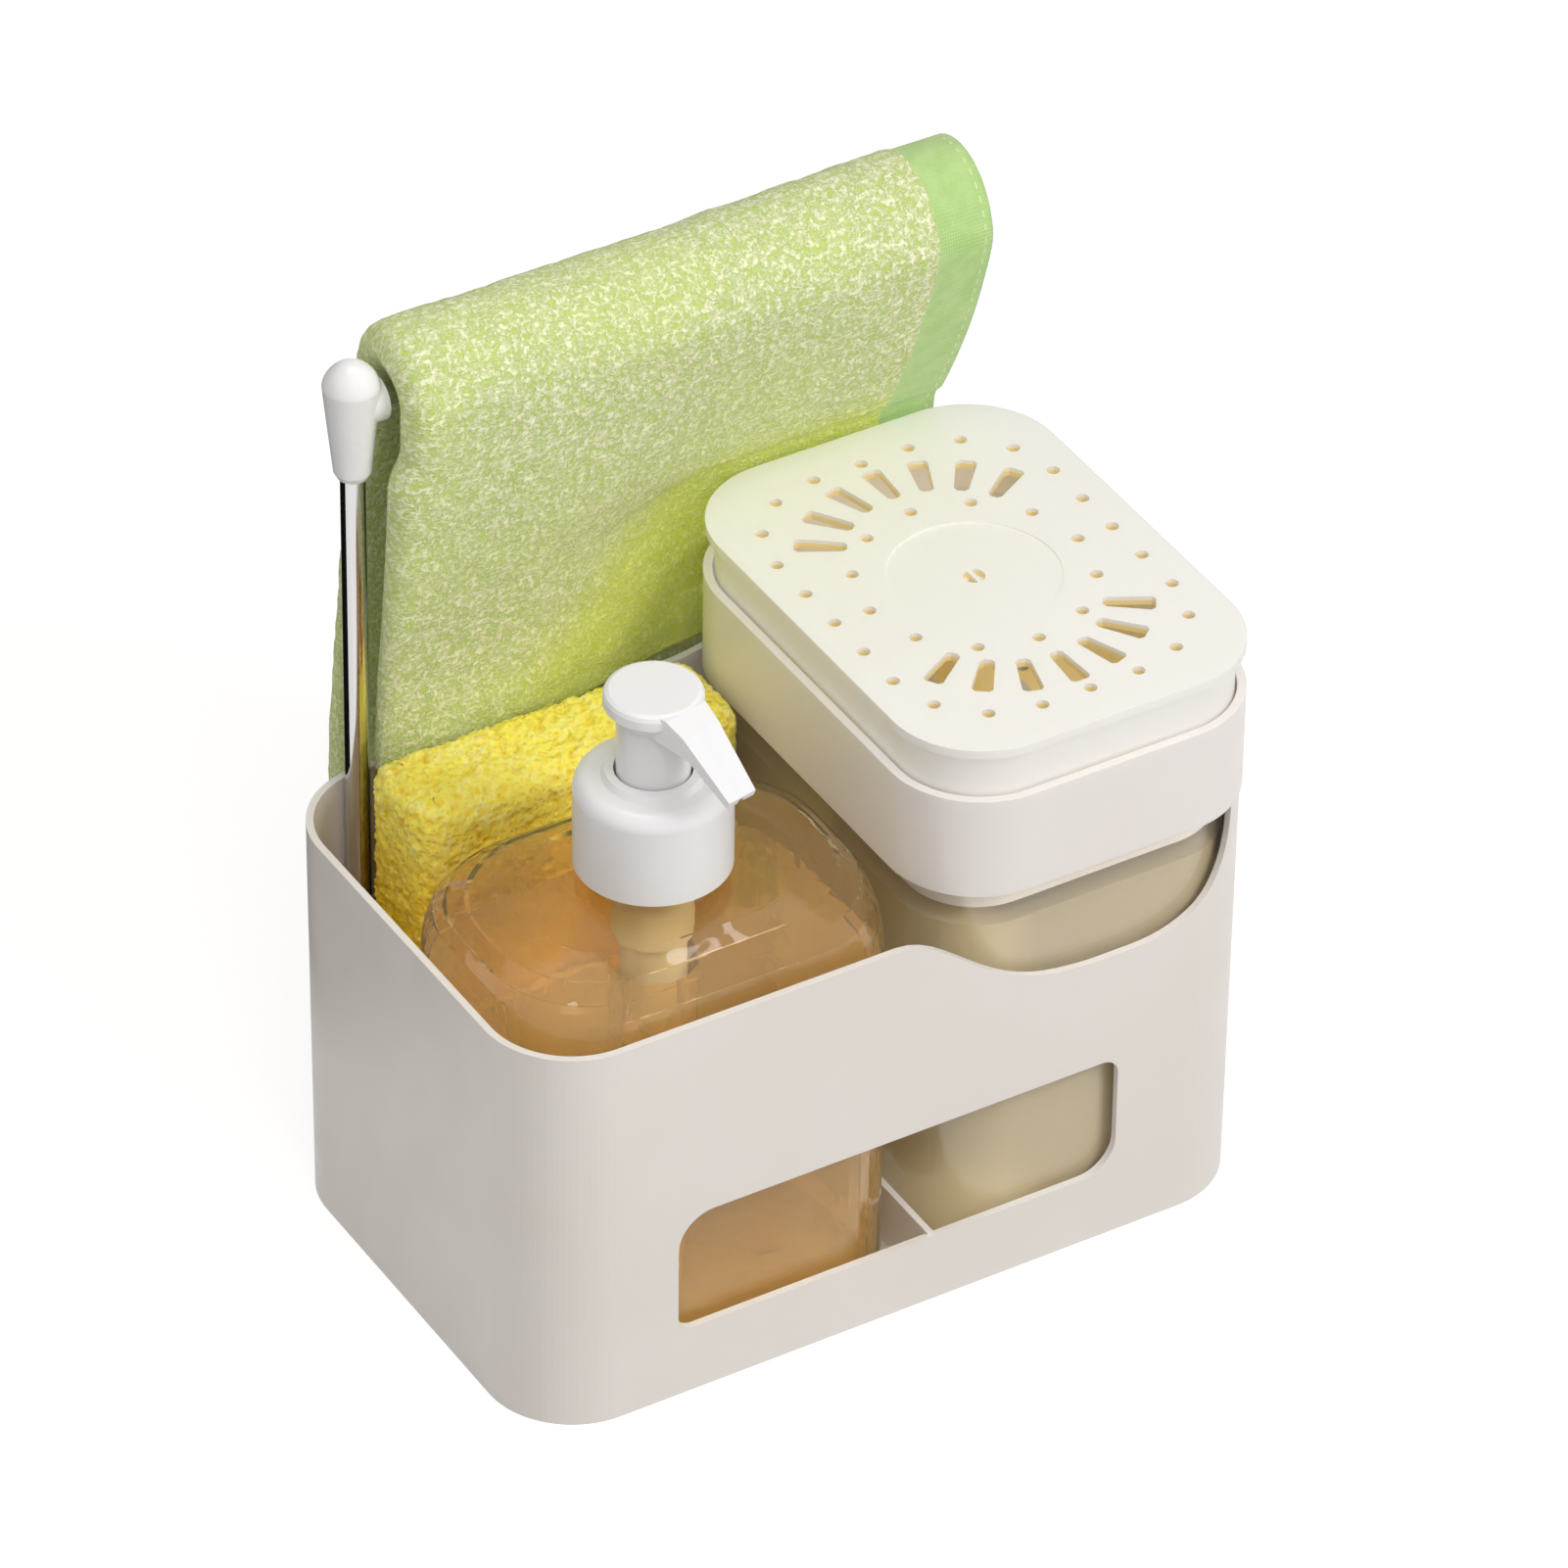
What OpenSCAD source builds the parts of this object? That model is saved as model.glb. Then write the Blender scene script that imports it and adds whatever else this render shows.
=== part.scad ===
// Sink-side soap caddy: a moulded tray that holds a lotion pump bottle, a
// press-plate soap box and a sponge, with a towel rail in its back corner.
// Lengths are millimetres. X runs along the front, Y towards the back, Z up.
// The origin is the middle of the tray's underside, on the counter.

/* [Tray] */
// Outside length of the tray at its rim
tray_l = 200; // [192:1:224]
// Outside width of the tray at its rim
tray_w = 124.4; // [121:0.2:136]
// Height of the level rim
rim_h = 109; // [102:1:118]
// How much higher the rim is beside the soap box
rim_rise = 4.6; // [3:0.2:7]
// Corner radius of the tray in plan
tray_r = 23; // [18:1:26]
// Wall thickness of the tray
wall = 1.8; // [1.5:0.1:2.4]
// How far each wall leans in from rim to foot
draft = 0.5; // [0.2:0.1:1]
// Thickness of the tray floor
floor_t = 2; // [1.6:0.1:3]
// Height of the foot rim and cross ribs under the floor
foot_h = 1.5; // [1:0.1:2.5]
// Width of the foot rim
foot_w = 3; // [2:0.5:5]
// Thickness of the upright dividers
divider_t = 1.6; // [1.2:0.1:2.2]
// Height of the box divider at the front, above the floor
divider_low_h = 16.5; // [12:0.5:20]
// Height of the dividers at the sponge bay, above the floor
divider_high_h = 46; // [36:1:56]
// Clear width of the sponge bay
sponge_bay_w = 39.7; // [38.5:0.1:44]

/* [Front of the tray] */
// Depth of the scoop below the level rim
scoop_depth = 24.4; // [16:0.2:30]
// Length of the curve that leads down into the scoop
scoop_lead = 54; // [44:1:60]
// Length of the scoop's level bottom
scoop_flat = 10.4; // [6:0.2:14]
// Length of the rounded end of the scoop, up to the corner
scoop_end = 28.6; // [24:0.2:34]
// Distance from the tray's end to where the scoop stops
scoop_margin = 10.4; // [9:0.2:14]
// Length of the window
window_l = 120; // [90:1:126]
// Height of the window
window_h = 33.8; // [24:0.2:40]
// Height of the window's sill above the counter
window_sill = 19.2; // [14:0.2:24]
// Large corner radius of the window
window_r_big = 9.5; // [6:0.5:11]
// Small corner radius of the window
window_r_small = 4.5; // [2:0.5:6]

/* [Towel rail] */
// Diameter of the steel post and bar
rod_d = 6; // [5:0.5:7]
// Height of the bar's axis above the counter
bar_h = 217.5; // [200:0.5:230]
// Length of bar beyond the elbow
bar_l = 148; // [120:1:150]
// Distance of the post from the tray's inner end wall
post_inset_x = 17.7; // [16:0.1:19]
// Distance of the post from the tray's inner back wall
post_inset_y = 3.9; // [3.7:0.1:4.2]
// Height of the post's socket above the floor
socket_h = 38; // [28:1:48]
// Wall of the post's socket
socket_wall = 1.9; // [1.5:0.1:2.1]
// Radius of the elbow at its head
elbow_r = 6.8; // [6:0.1:7.2]
// Height of the elbow
elbow_h = 31.5; // [29:0.5:34]

/* [Towel] */
// Width of the folded towel along the bar
towel_l = 155; // [126:1:158]
// Radius of the towel's puffed fold about the bar
towel_fold_r = 16.6; // [14.5:0.1:18]
// Height of the front layer's hem above the level rim
towel_front_hem = 3; // [2:0.5:6]
// Drop of the back layer's hem below the level rim
towel_back_hem = 12; // [6:1:20]

/* [Sponge] */
// Gap between the sponge and the tray's end wall, in front of the post
sponge_end_gap = 15.2; // [10:0.1:30]
// Thickness of the sponge
sponge_t = 29; // [24:0.5:29.4]
// Height of the sponge, standing on its end
sponge_h = 119.5; // [100:0.5:122]
// Rounding of the sponge's edges
sponge_r = 4; // [2:0.5:6]

/* [Pump bottle] */
// Finger gap between the bottle and the ends of its bay
bottle_gap_x = 2.8; // [2:0.1:5]
// Gap between the bottle and the sides of its bay
bottle_gap_y = 1.4; // [1:0.1:2.4]
// How far the bottle stands off the middle of its bay, towards the soap box
bottle_shift = 0.7; // [0:0.1:1.5]
// Corner radius of the bottle in plan
bottle_r = 21; // [16:0.5:24]
// Wall of the bottle
bottle_wall = 1.2; // [0.9:0.1:1.6]
// Height of the bottle's upright sides
bottle_side_h = 94; // [84:1:98]
// Height of the domed shoulder
shoulder_h = 23; // [18:0.5:28]
// Outside radius of the bottle neck
neck_r = 15.4; // [14.8:0.1:16]
// Height of the neck above the shoulder
neck_h = 24.5; // [23:0.1:28]
// Outside radius of the screw collar
collar_r = 18.7; // [18.4:0.1:20]
// Height of the screw collar
collar_h = 24.3; // [22:0.1:27]
// Reach of the spout from the pump's axis
spout_reach = 30.5; // [28:0.5:36]
// Fall of the spout's top face from the head to its tip
spout_drop = 13.5; // [10:0.5:14]
// Width of the spout's tip
spout_tip_w = 8; // [7:0.5:11]
// Turn of the spout towards the soap box, in degrees
spout_turn = 11; // [0:1:40]
// Height of the pump head above the barrel's mouth
head_rise = 25.7; // [25.2:0.1:28]
// Radius of the pump head's disc
head_r = 11.7; // [10.8:0.1:13]

/* [Pump engine, used twice] */
// Stroke of both pumps
stroke = 11.5; // [9:0.5:11.5]
// Radius of the smooth hub that enters the barrel
hub_r = 8.65; // [8.3:0.05:8.75]
// Bore radius of the barrel's mouth
mouth_r = 9; // [9:0.05:9.3]
// Depth of the barrel's mouth
mouth_depth = 16.7; // [16.5:0.1:18]
// Bore radius of the working cylinder
bore_r = 6.5; // [6.2:0.1:6.8]
// Depth of the working cylinder
bore_depth = 46; // [44:0.5:50]
// Wall of the barrel
barrel_wall = 1.4; // [1.1:0.1:1.6]
// Radius of the hollow stem
stem_r = 3.5; // [3.3:0.1:3.7]
// Height of the piston
piston_h = 10; // [9:0.5:11]
// Radius of the check ball
ball_r = 3; // [2.6:0.1:3.2]
// Wire diameter of the return spring
spring_wire = 1; // [0.8:0.1:1.2]
// Turns of the return spring
spring_turns = 8; // [6:1:9]
// Outside radius of the dip tube
tube_r = 3; // [2.6:0.1:3.2]

/* [Soap box] */
// Length of the clear container, along the tray
container_l = 86.4; // [82:0.2:89]
// Gap between the container and the tray's walls
container_gap = 0.4; // [0.3:0.1:0.8]
// Gap between the container and the front and back walls
container_gap_y = 1.1; // [0.8:0.1:1.6]
// Finger gap between the container and the divider
box_slack = 2.4; // [1.6:0.1:3.4]
// Corner radius of the container
container_r = 20.5; // [17:0.5:22]
// Wall of the container
container_wall = 1.5; // [1.2:0.1:2]
// How far the collar stands out beyond the container, end to end
collar_over_x = 3.3; // [2.8:0.1:3.6]
// How far the collar stands out beyond the container, front and back
collar_over_y = 4.2; // [3.6:0.1:4.6]
// Height of the collar
box_collar_h = 27.5; // [25:0.5:30]
// Wall of the collar
box_collar_wall = 2.2; // [1.8:0.1:2.6]
// Thickness of the deck inside the collar
deck_t = 2.5; // [2:0.1:3]
// Depth of the plug skirt below the collar
plug_h = 8.2; // [6:0.2:10]
// Gap between the press plate's skirt and the collar
plate_gap = 0.6; // [0.4:0.1:1]
// Thickness of the press plate
plate_t = 2.4; // [2:0.1:3]
// Height of the press plate's skirt
skirt_h = 19.5; // [16:0.5:19.5]
// Radius of the plate's small round holes
hole_r = 1.6; // [1.2:0.1:2]
// Number of holes in the plate's outer ring
outer_holes = 24; // [20:1:26]
// Number of holes in the plate's inner ring
inner_holes = 12; // [8:1:14]
// Slots in each fan of the plate
fan_slots = 7; // [5:2:7]
// Length of each fan slot
fan_slot_l = 12.5; // [9:0.5:13]

/* [Hidden] */

// Steps round a full turn of a smooth surface
$fn = 96;
// Overrun of cutting bodies
over = 1;
// Gap round a soft piece, and a small play between loose ones
seat_gap = 0.3;
// Radial clearance of a running fit
running = 0.06;
// Radial clearance of a push fit
push_fit = 0.02;

// Tray, worked out
half_l = tray_l / 2;
half_w = tray_w / 2;
rim_top = rim_h + rim_rise;
inner_x = half_l - wall - draft;
inner_y = half_w - wall - draft;
floor_z = foot_h + floor_t;
base_z = floor_z;
// Where the front's cut ends and the back's begins, under the soap box
rim_split_y = -16;
// Collar's underside, clear of the high rim
seam_gap = 0.9;
seam_z = rim_top + seam_gap;

// Soap box, worked out
box_x = inner_x - container_gap - container_l / 2;
container_w = 2 * (inner_y - container_gap_y);
seal_t = 0.8;
container_top = seam_z - seal_t;
container_floor = 2;
box_divider_right = box_x - container_l / 2 - box_slack;
box_divider_left = box_divider_right - divider_t;
box_collar_l = container_l + 2 * collar_over_x;
box_collar_w = container_w + 2 * collar_over_y;
box_collar_r = container_r + collar_over_x;
collar_top_z = seam_z + box_collar_h;
deck_top_z = seam_z + deck_t;
flange_t = 1.5;
box_mouth_z = deck_top_z + flange_t;

// Sponge bay and bottle bay, worked out
sponge_side_gap = 3 * seat_gap;
sponge_l = box_divider_left - sponge_side_gap + inner_x - sponge_end_gap;
sponge_wall_back = inner_y - sponge_bay_w;
sponge_wall_front = sponge_wall_back - divider_t;
bottle_l = box_divider_left + inner_x - 2 * bottle_gap_x;
bottle_w = sponge_wall_front + inner_y - 2 * bottle_gap_y;
bottle_x = (box_divider_left - inner_x) / 2 + bottle_shift;
bottle_y = (sponge_wall_front - inner_y) / 2;
crease_z = base_z + bottle_side_h;
shoulder_z = crease_z + shoulder_h;
neck_top_z = shoulder_z + neck_h;
neck_wall = 1.8;
gasket_t = 1.2;
pump_mouth_z = neck_top_z + gasket_t + flange_t;
collar_plate_t = 1.6;
pump_collar_top = pump_mouth_z + collar_plate_t;
head_top_z = pump_mouth_z + head_rise;

// Pump engine, worked out: depths below the barrel's mouth
hub_entry = 2.7;
straight_barrel_l = 27;
stem_socket_wall = 1.7;
tube_end_gap = 5;
hub_wall = 1.5;
flange_r = 15.4;
bush_flange_t = 2;
bush_skirt_h = 6;
piston_top = mouth_depth + bush_skirt_h + seat_gap;
piston_bottom = piston_top + piston_h;
bore_end = mouth_depth + bore_depth;
cage_h = 7;
cage_gap = 0.4;
cage_r = ball_r + cage_gap;
cage_end = bore_end + cage_h;
seat_h = 1.6;
seat_r = 1.8;
seat_end = cage_end + seat_h;
nozzle_h = 9;
nozzle_end = seat_end + nozzle_h;
barrel_step = mouth_depth + straight_barrel_l;
barrel_taper = 0.8;
barrel_r = mouth_r + barrel_wall;
stem_bore = 1.5;
spigot_r = 2.6;
socket_depth = 8;
socket_r = stem_r + stem_socket_wall;
spring_r = 4.9;
tube_bore = 2.2;
tube_bottom_z = base_z + tube_end_gap;
tube_cut = 2.5;

// Press plate, worked out
plate_under_z = collar_top_z + stroke + seam_gap / 2;
plate_top_z = plate_under_z + plate_t;
skirt_l = box_collar_l - 2 * (box_collar_wall + plate_gap);
skirt_w = box_collar_w - 2 * (box_collar_wall + plate_gap);
skirt_r = box_collar_r - box_collar_wall - plate_gap;
skirt_wall = 1.6;
lip_in = 0.4;
plate_l = box_collar_l - 2 * lip_in;
plate_w = box_collar_w - 2 * lip_in;
plate_r = box_collar_r - lip_in;

// Rail, worked out
rod_r = rod_d / 2;
post_x = -inner_x + post_inset_x;
post_y = inner_y - post_inset_y;
socket_bore = rod_r + running;
boss_stand_out = 0.6;
boss_wall = 2.4;
elbow_above_bar = 12.1;
boss_reach = elbow_r + boss_stand_out;
boss_r = rod_r + boss_wall;
bar_start = post_x + rod_r;
bar_end = post_x + boss_reach + bar_l;
elbow_top_z = bar_h + elbow_above_bar;
elbow_bottom_z = elbow_top_z - elbow_h;
cap_wall = 1.2;
cap_l = 7;

// Helpers

// A flat rounded rectangle about the origin, with true arcs
module rounded_plate(l, w, r) {
    square([l - 2 * r, w], center = true);
    square([l, w - 2 * r], center = true);
    for (sx = [-1, 1], sy = [-1, 1])
        translate([sx * (l / 2 - r), sy * (w / 2 - r)]) circle(r);
}

// An upright wall that follows a rounded rectangle
module rounded_ring(l, w, r, t, h) {
    linear_extrude(h) difference() {
        rounded_plate(l, w, r);
        rounded_plate(l - 2 * t, w - 2 * t, r - t);
    }
}

// One level of a loft: a rounded rectangle as points, counter-clockwise from above
corner_steps = 10;
function level(l, w, r, z) = [
    for (q = [0:3], k = [0:corner_steps])
        let (
            a = 90 * q + 90 * k / corner_steps,
            sx = (q == 0 || q == 3) ? 1 : -1,
            sy = (q < 2) ? 1 : -1
        )
        [sx * (l / 2 - r) + r * cos(a), sy * (w / 2 - r) + r * sin(a), z]
];

// A closed solid through a stack of levels that have equally many points
module loft(levels) {
    n = len(levels[0]);
    top = len(levels) - 1;
    sides = [
        for (k = [0:top - 1], i = [0:n - 1])
            let (j = (i + 1) % n, a = k * n + i, b = k * n + j)
            each [[a, a + n, b + n], [a, b + n, b]]
    ];
    polyhedron(
        points = [for (ring = levels) each ring],
        faces = concat([[for (i = [0:n - 1]) i]], sides, [[for (i = [n - 1:-1:0]) top * n + i]])
    );
}

// Smooth step from 0 to 1
function ease(t) = let (u = min(1, max(0, t))) u * u * (3 - 2 * u);
function blend(a, b, t) = a + (b - a) * t;

// Tray

// The tray's drafted block, shrunk by a margin on every side
module tray_block(margin, low, high) {
    lean_low = draft * (1 - low / rim_top);
    lean_high = draft * (1 - high / rim_top);
    hull()
        for (sx = [-1, 1], sy = [-1, 1])
            translate([sx * (half_l - tray_r), sy * (half_w - tray_r), low])
                cylinder(h = high - low, r1 = tray_r - margin - lean_low, r2 = tray_r - margin - lean_high);
}

// Shares of the scoop's curves at which the rim has a point
curve_steps = 16;
scoop_stop = half_l - scoop_margin;
scoop_turn = scoop_stop - scoop_end;
scoop_start = scoop_turn - scoop_flat - scoop_lead;
scoop_low_z = rim_h - scoop_depth;

// The lead-in falls like one side of a bell, and the end rises as a quarter of a full oval
bell = 2.1;
fullness = 2.16;
function lead_fall(t) = (1 - exp(-pow(bell * t, 2))) / (1 - exp(-pow(bell, 2)));
function end_rise(t) = 1 - pow(1 - pow(t, fullness), 1 / fullness);

// What is cut from the front wall: level, a curve down, then a rounded end up
module front_rim_cut() {
    lead_in = [
        for (k = [0:curve_steps])
            [scoop_start + scoop_lead * k / curve_steps, rim_h - scoop_depth * lead_fall(k / curve_steps)]
    ];
    run_out = [
        for (k = [1:curve_steps])
            let (t = sin(90 * k / curve_steps))
            [scoop_turn + scoop_end * t, blend(scoop_low_z, rim_top, end_rise(t))]
    ];
    outline = concat(
        [[-half_l - over, rim_top + over], [-half_l - over, rim_h]],
        lead_in,
        [[scoop_turn, scoop_low_z]],
        run_out,
        [[scoop_stop, rim_top + over]]
    );
    translate([0, rim_split_y, 0])
        rotate([90, 0, 0])
            linear_extrude(half_w + over) polygon(outline);
}

// What is cut from the back wall: the low rim, easing up behind the soap box
back_lead = 30;
module back_rim_cut() {
    rise = [
        for (k = [0:curve_steps])
            [
                blend(box_divider_left, box_divider_left + back_lead, k / curve_steps),
                rim_h + (rim_rise + over) * ease(k / curve_steps)
            ]
    ];
    translate([0, half_w + over, 0])
        rotate([90, 0, 0])
            linear_extrude(half_w + 2 * over - rim_split_y)
                polygon(concat([[-half_l - over, rim_top + over], [-half_l - over, rim_h]], rise));
}

// The leaf-shaped window: two large and two small corners
window_mid = -1.6;
module window_shape() {
    radii = [window_r_small, window_r_big, window_r_small, window_r_big];
    corners = [[1, 1], [-1, 1], [-1, -1], [1, -1]];
    outline = [
        for (c = [0:3], k = [0:curve_steps])
            let (a = 90 * c + 90 * k / curve_steps, r = radii[c])
            [
                corners[c][0] * (window_l / 2 - r) + r * cos(a),
                corners[c][1] * (window_h / 2 - r) + r * sin(a)
            ]
    ];
    polygon(outline);
}

module window_cut() {
    translate([window_mid, -half_w + wall + draft + over, window_sill + window_h / 2])
        rotate([90, 0, 0])
            linear_extrude(wall + draft + 2 * over) window_shape();
}

// Hollow underside: a foot rim all round and a cross of ribs through the middle
foot_rib_w = 3;
notch_w = 10;
notch_x = half_l / 2;
module foot_recess() {
    difference() {
        translate([0, 0, -over])
            linear_extrude(foot_h + over)
                rounded_plate(
                    tray_l - 2 * (draft + foot_w), tray_w - 2 * (draft + foot_w), tray_r - draft - foot_w
                );
        cube([tray_l, foot_rib_w, 2 * foot_h + over], center = true);
        cube([foot_rib_w, tray_w, 2 * foot_h + over], center = true);
    }
    for (sx = [-1, 1])
        translate([sx * notch_x, half_w - foot_w / 2, 0])
            cube([notch_w, 2 * (foot_w + over), 2 * foot_h], center = true);
}

// Slots that drain the sponge bay into the hollow underside
drain_slots = 6;
drain_w = 3;
drain_l = 22;
drain_pitch = sponge_l / drain_slots;
module drain_cut() {
    mid_y = (sponge_wall_back + post_y - rod_r - socket_wall) / 2;
    first_x = box_divider_left - sponge_l + drain_pitch / 2;
    for (k = [0:drain_slots - 1])
        translate([first_x + k * drain_pitch, mid_y, foot_h - over])
            linear_extrude(floor_t + 2 * over) rounded_plate(drain_w, drain_l, drain_w / 2 - push_fit);
}

// Divider between bottle and soap box: low in front, rising towards the sponge bay
divider_rise_end = sponge_wall_front;
divider_rise_l = 44;
module box_divider() {
    edge = [
        for (k = [0:curve_steps])
            [
                blend(divider_rise_end - divider_rise_l, divider_rise_end, k / curve_steps),
                floor_z + blend(divider_low_h, divider_high_h, ease(k / curve_steps))
            ]
    ];
    reach = inner_y + wall / 2;
    outline = concat(
        [[-reach, foot_h], [-reach, floor_z + divider_low_h]],
        edge,
        [[reach, floor_z + divider_high_h], [reach, foot_h]]
    );
    translate([box_divider_left, 0, 0])
        rotate([90, 0, 90])
            linear_extrude(divider_t) polygon(outline);
}

module sponge_divider() {
    reach = inner_x + wall / 2;
    translate([-reach, sponge_wall_front, foot_h])
        cube([reach + box_divider_right, divider_t, floor_t + divider_high_h]);
}

module tray_shell() {
    color("floralwhite") difference() {
        union() {
            difference() {
                tray_block(0, 0, rim_top);
                tray_block(wall, floor_z, rim_top + over);
                front_rim_cut();
                back_rim_cut();
                window_cut();
            }
            box_divider();
            sponge_divider();
            translate([post_x, post_y, foot_h])
                cylinder(h = floor_t + socket_h, r = socket_bore + socket_wall);
        }
        foot_recess();
        drain_cut();
        translate([post_x, post_y, floor_z])
            cylinder(h = socket_h + over, r = socket_bore);
    }
}

// Pump engine: every piece hangs below the barrel's mouth at z = 0

module engine_barrel() {
    rotate_extrude() polygon([
        [mouth_r, 0],
        [flange_r, 0],
        [flange_r, -flange_t],
        [barrel_r, -flange_t],
        [barrel_r - barrel_taper, -barrel_step],
        [bore_r + barrel_wall, -barrel_step - barrel_wall],
        [bore_r + barrel_wall, -cage_end],
        [tube_r + barrel_wall, -seat_end],
        [tube_r + barrel_wall, -nozzle_end],
        [tube_r + push_fit, -nozzle_end],
        [tube_r + push_fit, -seat_end],
        [seat_r, -seat_end],
        [seat_r, -cage_end],
        [cage_r, -cage_end + cage_r - seat_r],
        [cage_r, -bore_end],
        [bore_r, -bore_end],
        [bore_r, -mouth_depth],
        [mouth_r, -mouth_depth]
    ]);
}

// Guide bush that closes the working cylinder and steers the stem
module engine_bush() {
    rotate_extrude() polygon([
        [stem_r + running, bush_flange_t - mouth_depth],
        [mouth_r - push_fit, bush_flange_t - mouth_depth],
        [mouth_r - push_fit, -mouth_depth],
        [bore_r - push_fit, -mouth_depth],
        [bore_r - push_fit, -mouth_depth - bush_skirt_h],
        [stem_r + running, -mouth_depth - bush_skirt_h]
    ]);
}

// Hollow stem: a spigot in the piston, a shoulder on it, then up into the head
module engine_stem(top) {
    rotate_extrude() polygon([
        [stem_bore, -piston_bottom],
        [spigot_r, -piston_bottom],
        [spigot_r, -piston_top + running],
        [stem_r, -piston_top + running],
        [stem_r, top],
        [stem_bore, top]
    ]);
}

// Piston with two sealing lips
lip_h = 1.6;
waist = 0.9;
module engine_piston() {
    rotate_extrude() polygon([
        [spigot_r + running, -piston_top],
        [bore_r - running, -piston_top],
        [bore_r - running, -piston_top - lip_h],
        [bore_r - waist, -piston_top - 2 * lip_h],
        [bore_r - waist, -piston_bottom + 2 * lip_h],
        [bore_r - running, -piston_bottom + lip_h],
        [bore_r - running, -piston_bottom],
        [spigot_r + running, -piston_bottom]
    ]);
}

// Return spring: one wire wound from the cage's shelf up to the piston
spring_rings = 8;
spring_sides = 6;
spring_gap = 0.12;
spring_low = -bore_end + spring_gap + spring_wire / 2;
spring_high = -piston_bottom - spring_gap - spring_wire / 2;
spring_pitch = (spring_high - spring_low) / spring_turns;
echo(least_gap_between_spring_turns = spring_pitch - spring_wire);

module engine_spring() {
    count = spring_turns * spring_rings;
    loops = [
        for (k = [0:count])
            let (a = 360 * k / spring_rings, z = blend(spring_low, spring_high, k / count))
            [
                for (s = [0:spring_sides - 1])
                    let (b = 360 * s / spring_sides, r = spring_r + spring_wire / 2 * cos(b))
                    [r * cos(a), r * sin(a), z + spring_wire / 2 * sin(b)]
            ]
    ];
    n = spring_sides;
    sides = [
        for (k = [0:count - 1], i = [0:n - 1])
            let (j = (i + 1) % n, a = k * n + i, b = k * n + j)
            each [[a, b + n, a + n], [a, b, b + n]]
    ];
    polyhedron(
        points = [for (ring = loops) each ring],
        faces = concat([[for (i = [n - 1:-1:0]) i]], sides, [[for (i = [0:n - 1]) count * n + i]])
    );
}

module engine_ball() {
    lift = (ball_r + running) * sqrt(2) - seat_r;
    translate([0, 0, lift - cage_end]) sphere(ball_r, $fn = 48);
}

// Dip tube: pushed up the barrel's nozzle, cut slanting at its foot
module engine_tube(bottom) {
    top = -seat_end - push_fit;
    difference() {
        translate([0, 0, bottom]) cylinder(h = top - bottom, r = tube_r);
        translate([0, 0, bottom - over]) cylinder(h = top - bottom + 2 * over, r = tube_bore);
        translate([0, 0, bottom])
            rotate([0, atan(tube_cut / tube_r), 0])
                translate([0, 0, -tube_cut])
                    cube([4 * tube_r, 4 * tube_r, 2 * tube_cut], center = true);
    }
}

// Smooth hub under a pump head: a sleeve that enters the barrel, and the stem's socket
module engine_hub(top) {
    translate([0, 0, -hub_entry]) difference() {
        cylinder(h = top + hub_entry, r = hub_r);
        translate([0, 0, -over]) cylinder(h = top + hub_entry + over, r = hub_r - hub_wall);
    }
    translate([0, 0, top - socket_depth]) difference() {
        cylinder(h = socket_depth, r = socket_r);
        translate([0, 0, -over]) cylinder(h = socket_depth + over, r = stem_r + push_fit);
    }
}

// Pump bottle

// The bottle's outline from base to neck, shrunk by a wall
base_round = 4;
crease_round = 7;
shoulder_steps = 8;
// Powers that keep the shoulder full before it turns in to the neck
across_power = 3.6;
along_power = 4.4;
module bottle_form(t, low, high_share) {
    span = (bottle_w / 2 - neck_r) * high_share;
    levels = concat(
        [
            level(
                bottle_l - 2 * (base_round + t), bottle_w - 2 * (base_round + t),
                bottle_r - base_round - t, low
            ),
            level(bottle_l - 2 * t, bottle_w - 2 * t, bottle_r - t, base_z + base_round),
            level(bottle_l - 2 * t, bottle_w - 2 * t, bottle_r - t, crease_z - crease_round)
        ],
        [
            for (k = [1:shoulder_steps])
                let (
                    u = k / shoulder_steps,
                    z = crease_z - crease_round + (shoulder_h + crease_round - t) * sin(90 * u),
                    across = bottle_w / 2 - t - span * pow(u, across_power),
                    along = blend(bottle_l / 2 - t, across, pow(u, along_power)),
                    r = min(across - over / 2, blend(bottle_r - t, across, u * u))
                )
                level(2 * along, 2 * across, r, z)
        ]
    );
    loft(levels);
}

module place_bottle() {
    translate([bottle_x, bottle_y, 0]) children();
}

module bottle_shell() {
    color("darkgoldenrod", 0.5) place_bottle() difference() {
        union() {
            bottle_form(0, base_z, 1);
            translate([0, 0, shoulder_z - shoulder_h / 2])
                cylinder(h = neck_h + shoulder_h / 2, r = neck_r);
        }
        bottle_form(bottle_wall, base_z + bottle_wall, 1);
        translate([0, 0, crease_z])
            cylinder(h = shoulder_h + neck_h + over, r = neck_r - neck_wall);
    }
}

// Liquid: fills the bottle to just under the shoulder, round the barrel and tube
fill_below = 1.5;
liquid_gap = 0.1;
module bottle_liquid() {
    level_z = crease_z - fill_below;
    color("orange", 0.6) place_bottle() difference() {
        intersection() {
            bottle_form(bottle_wall + liquid_gap, base_z + bottle_wall + liquid_gap, 1);
            translate([0, 0, level_z / 2])
                cube([tray_l, tray_w, level_z], center = true);
        }
        translate([0, 0, pump_mouth_z - nozzle_end - liquid_gap])
            cylinder(h = nozzle_end, r = barrel_r + liquid_gap);
        translate([0, 0, tube_bottom_z - tube_cut])
            cylinder(h = nozzle_end, r = tube_r + liquid_gap);
    }
}

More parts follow.
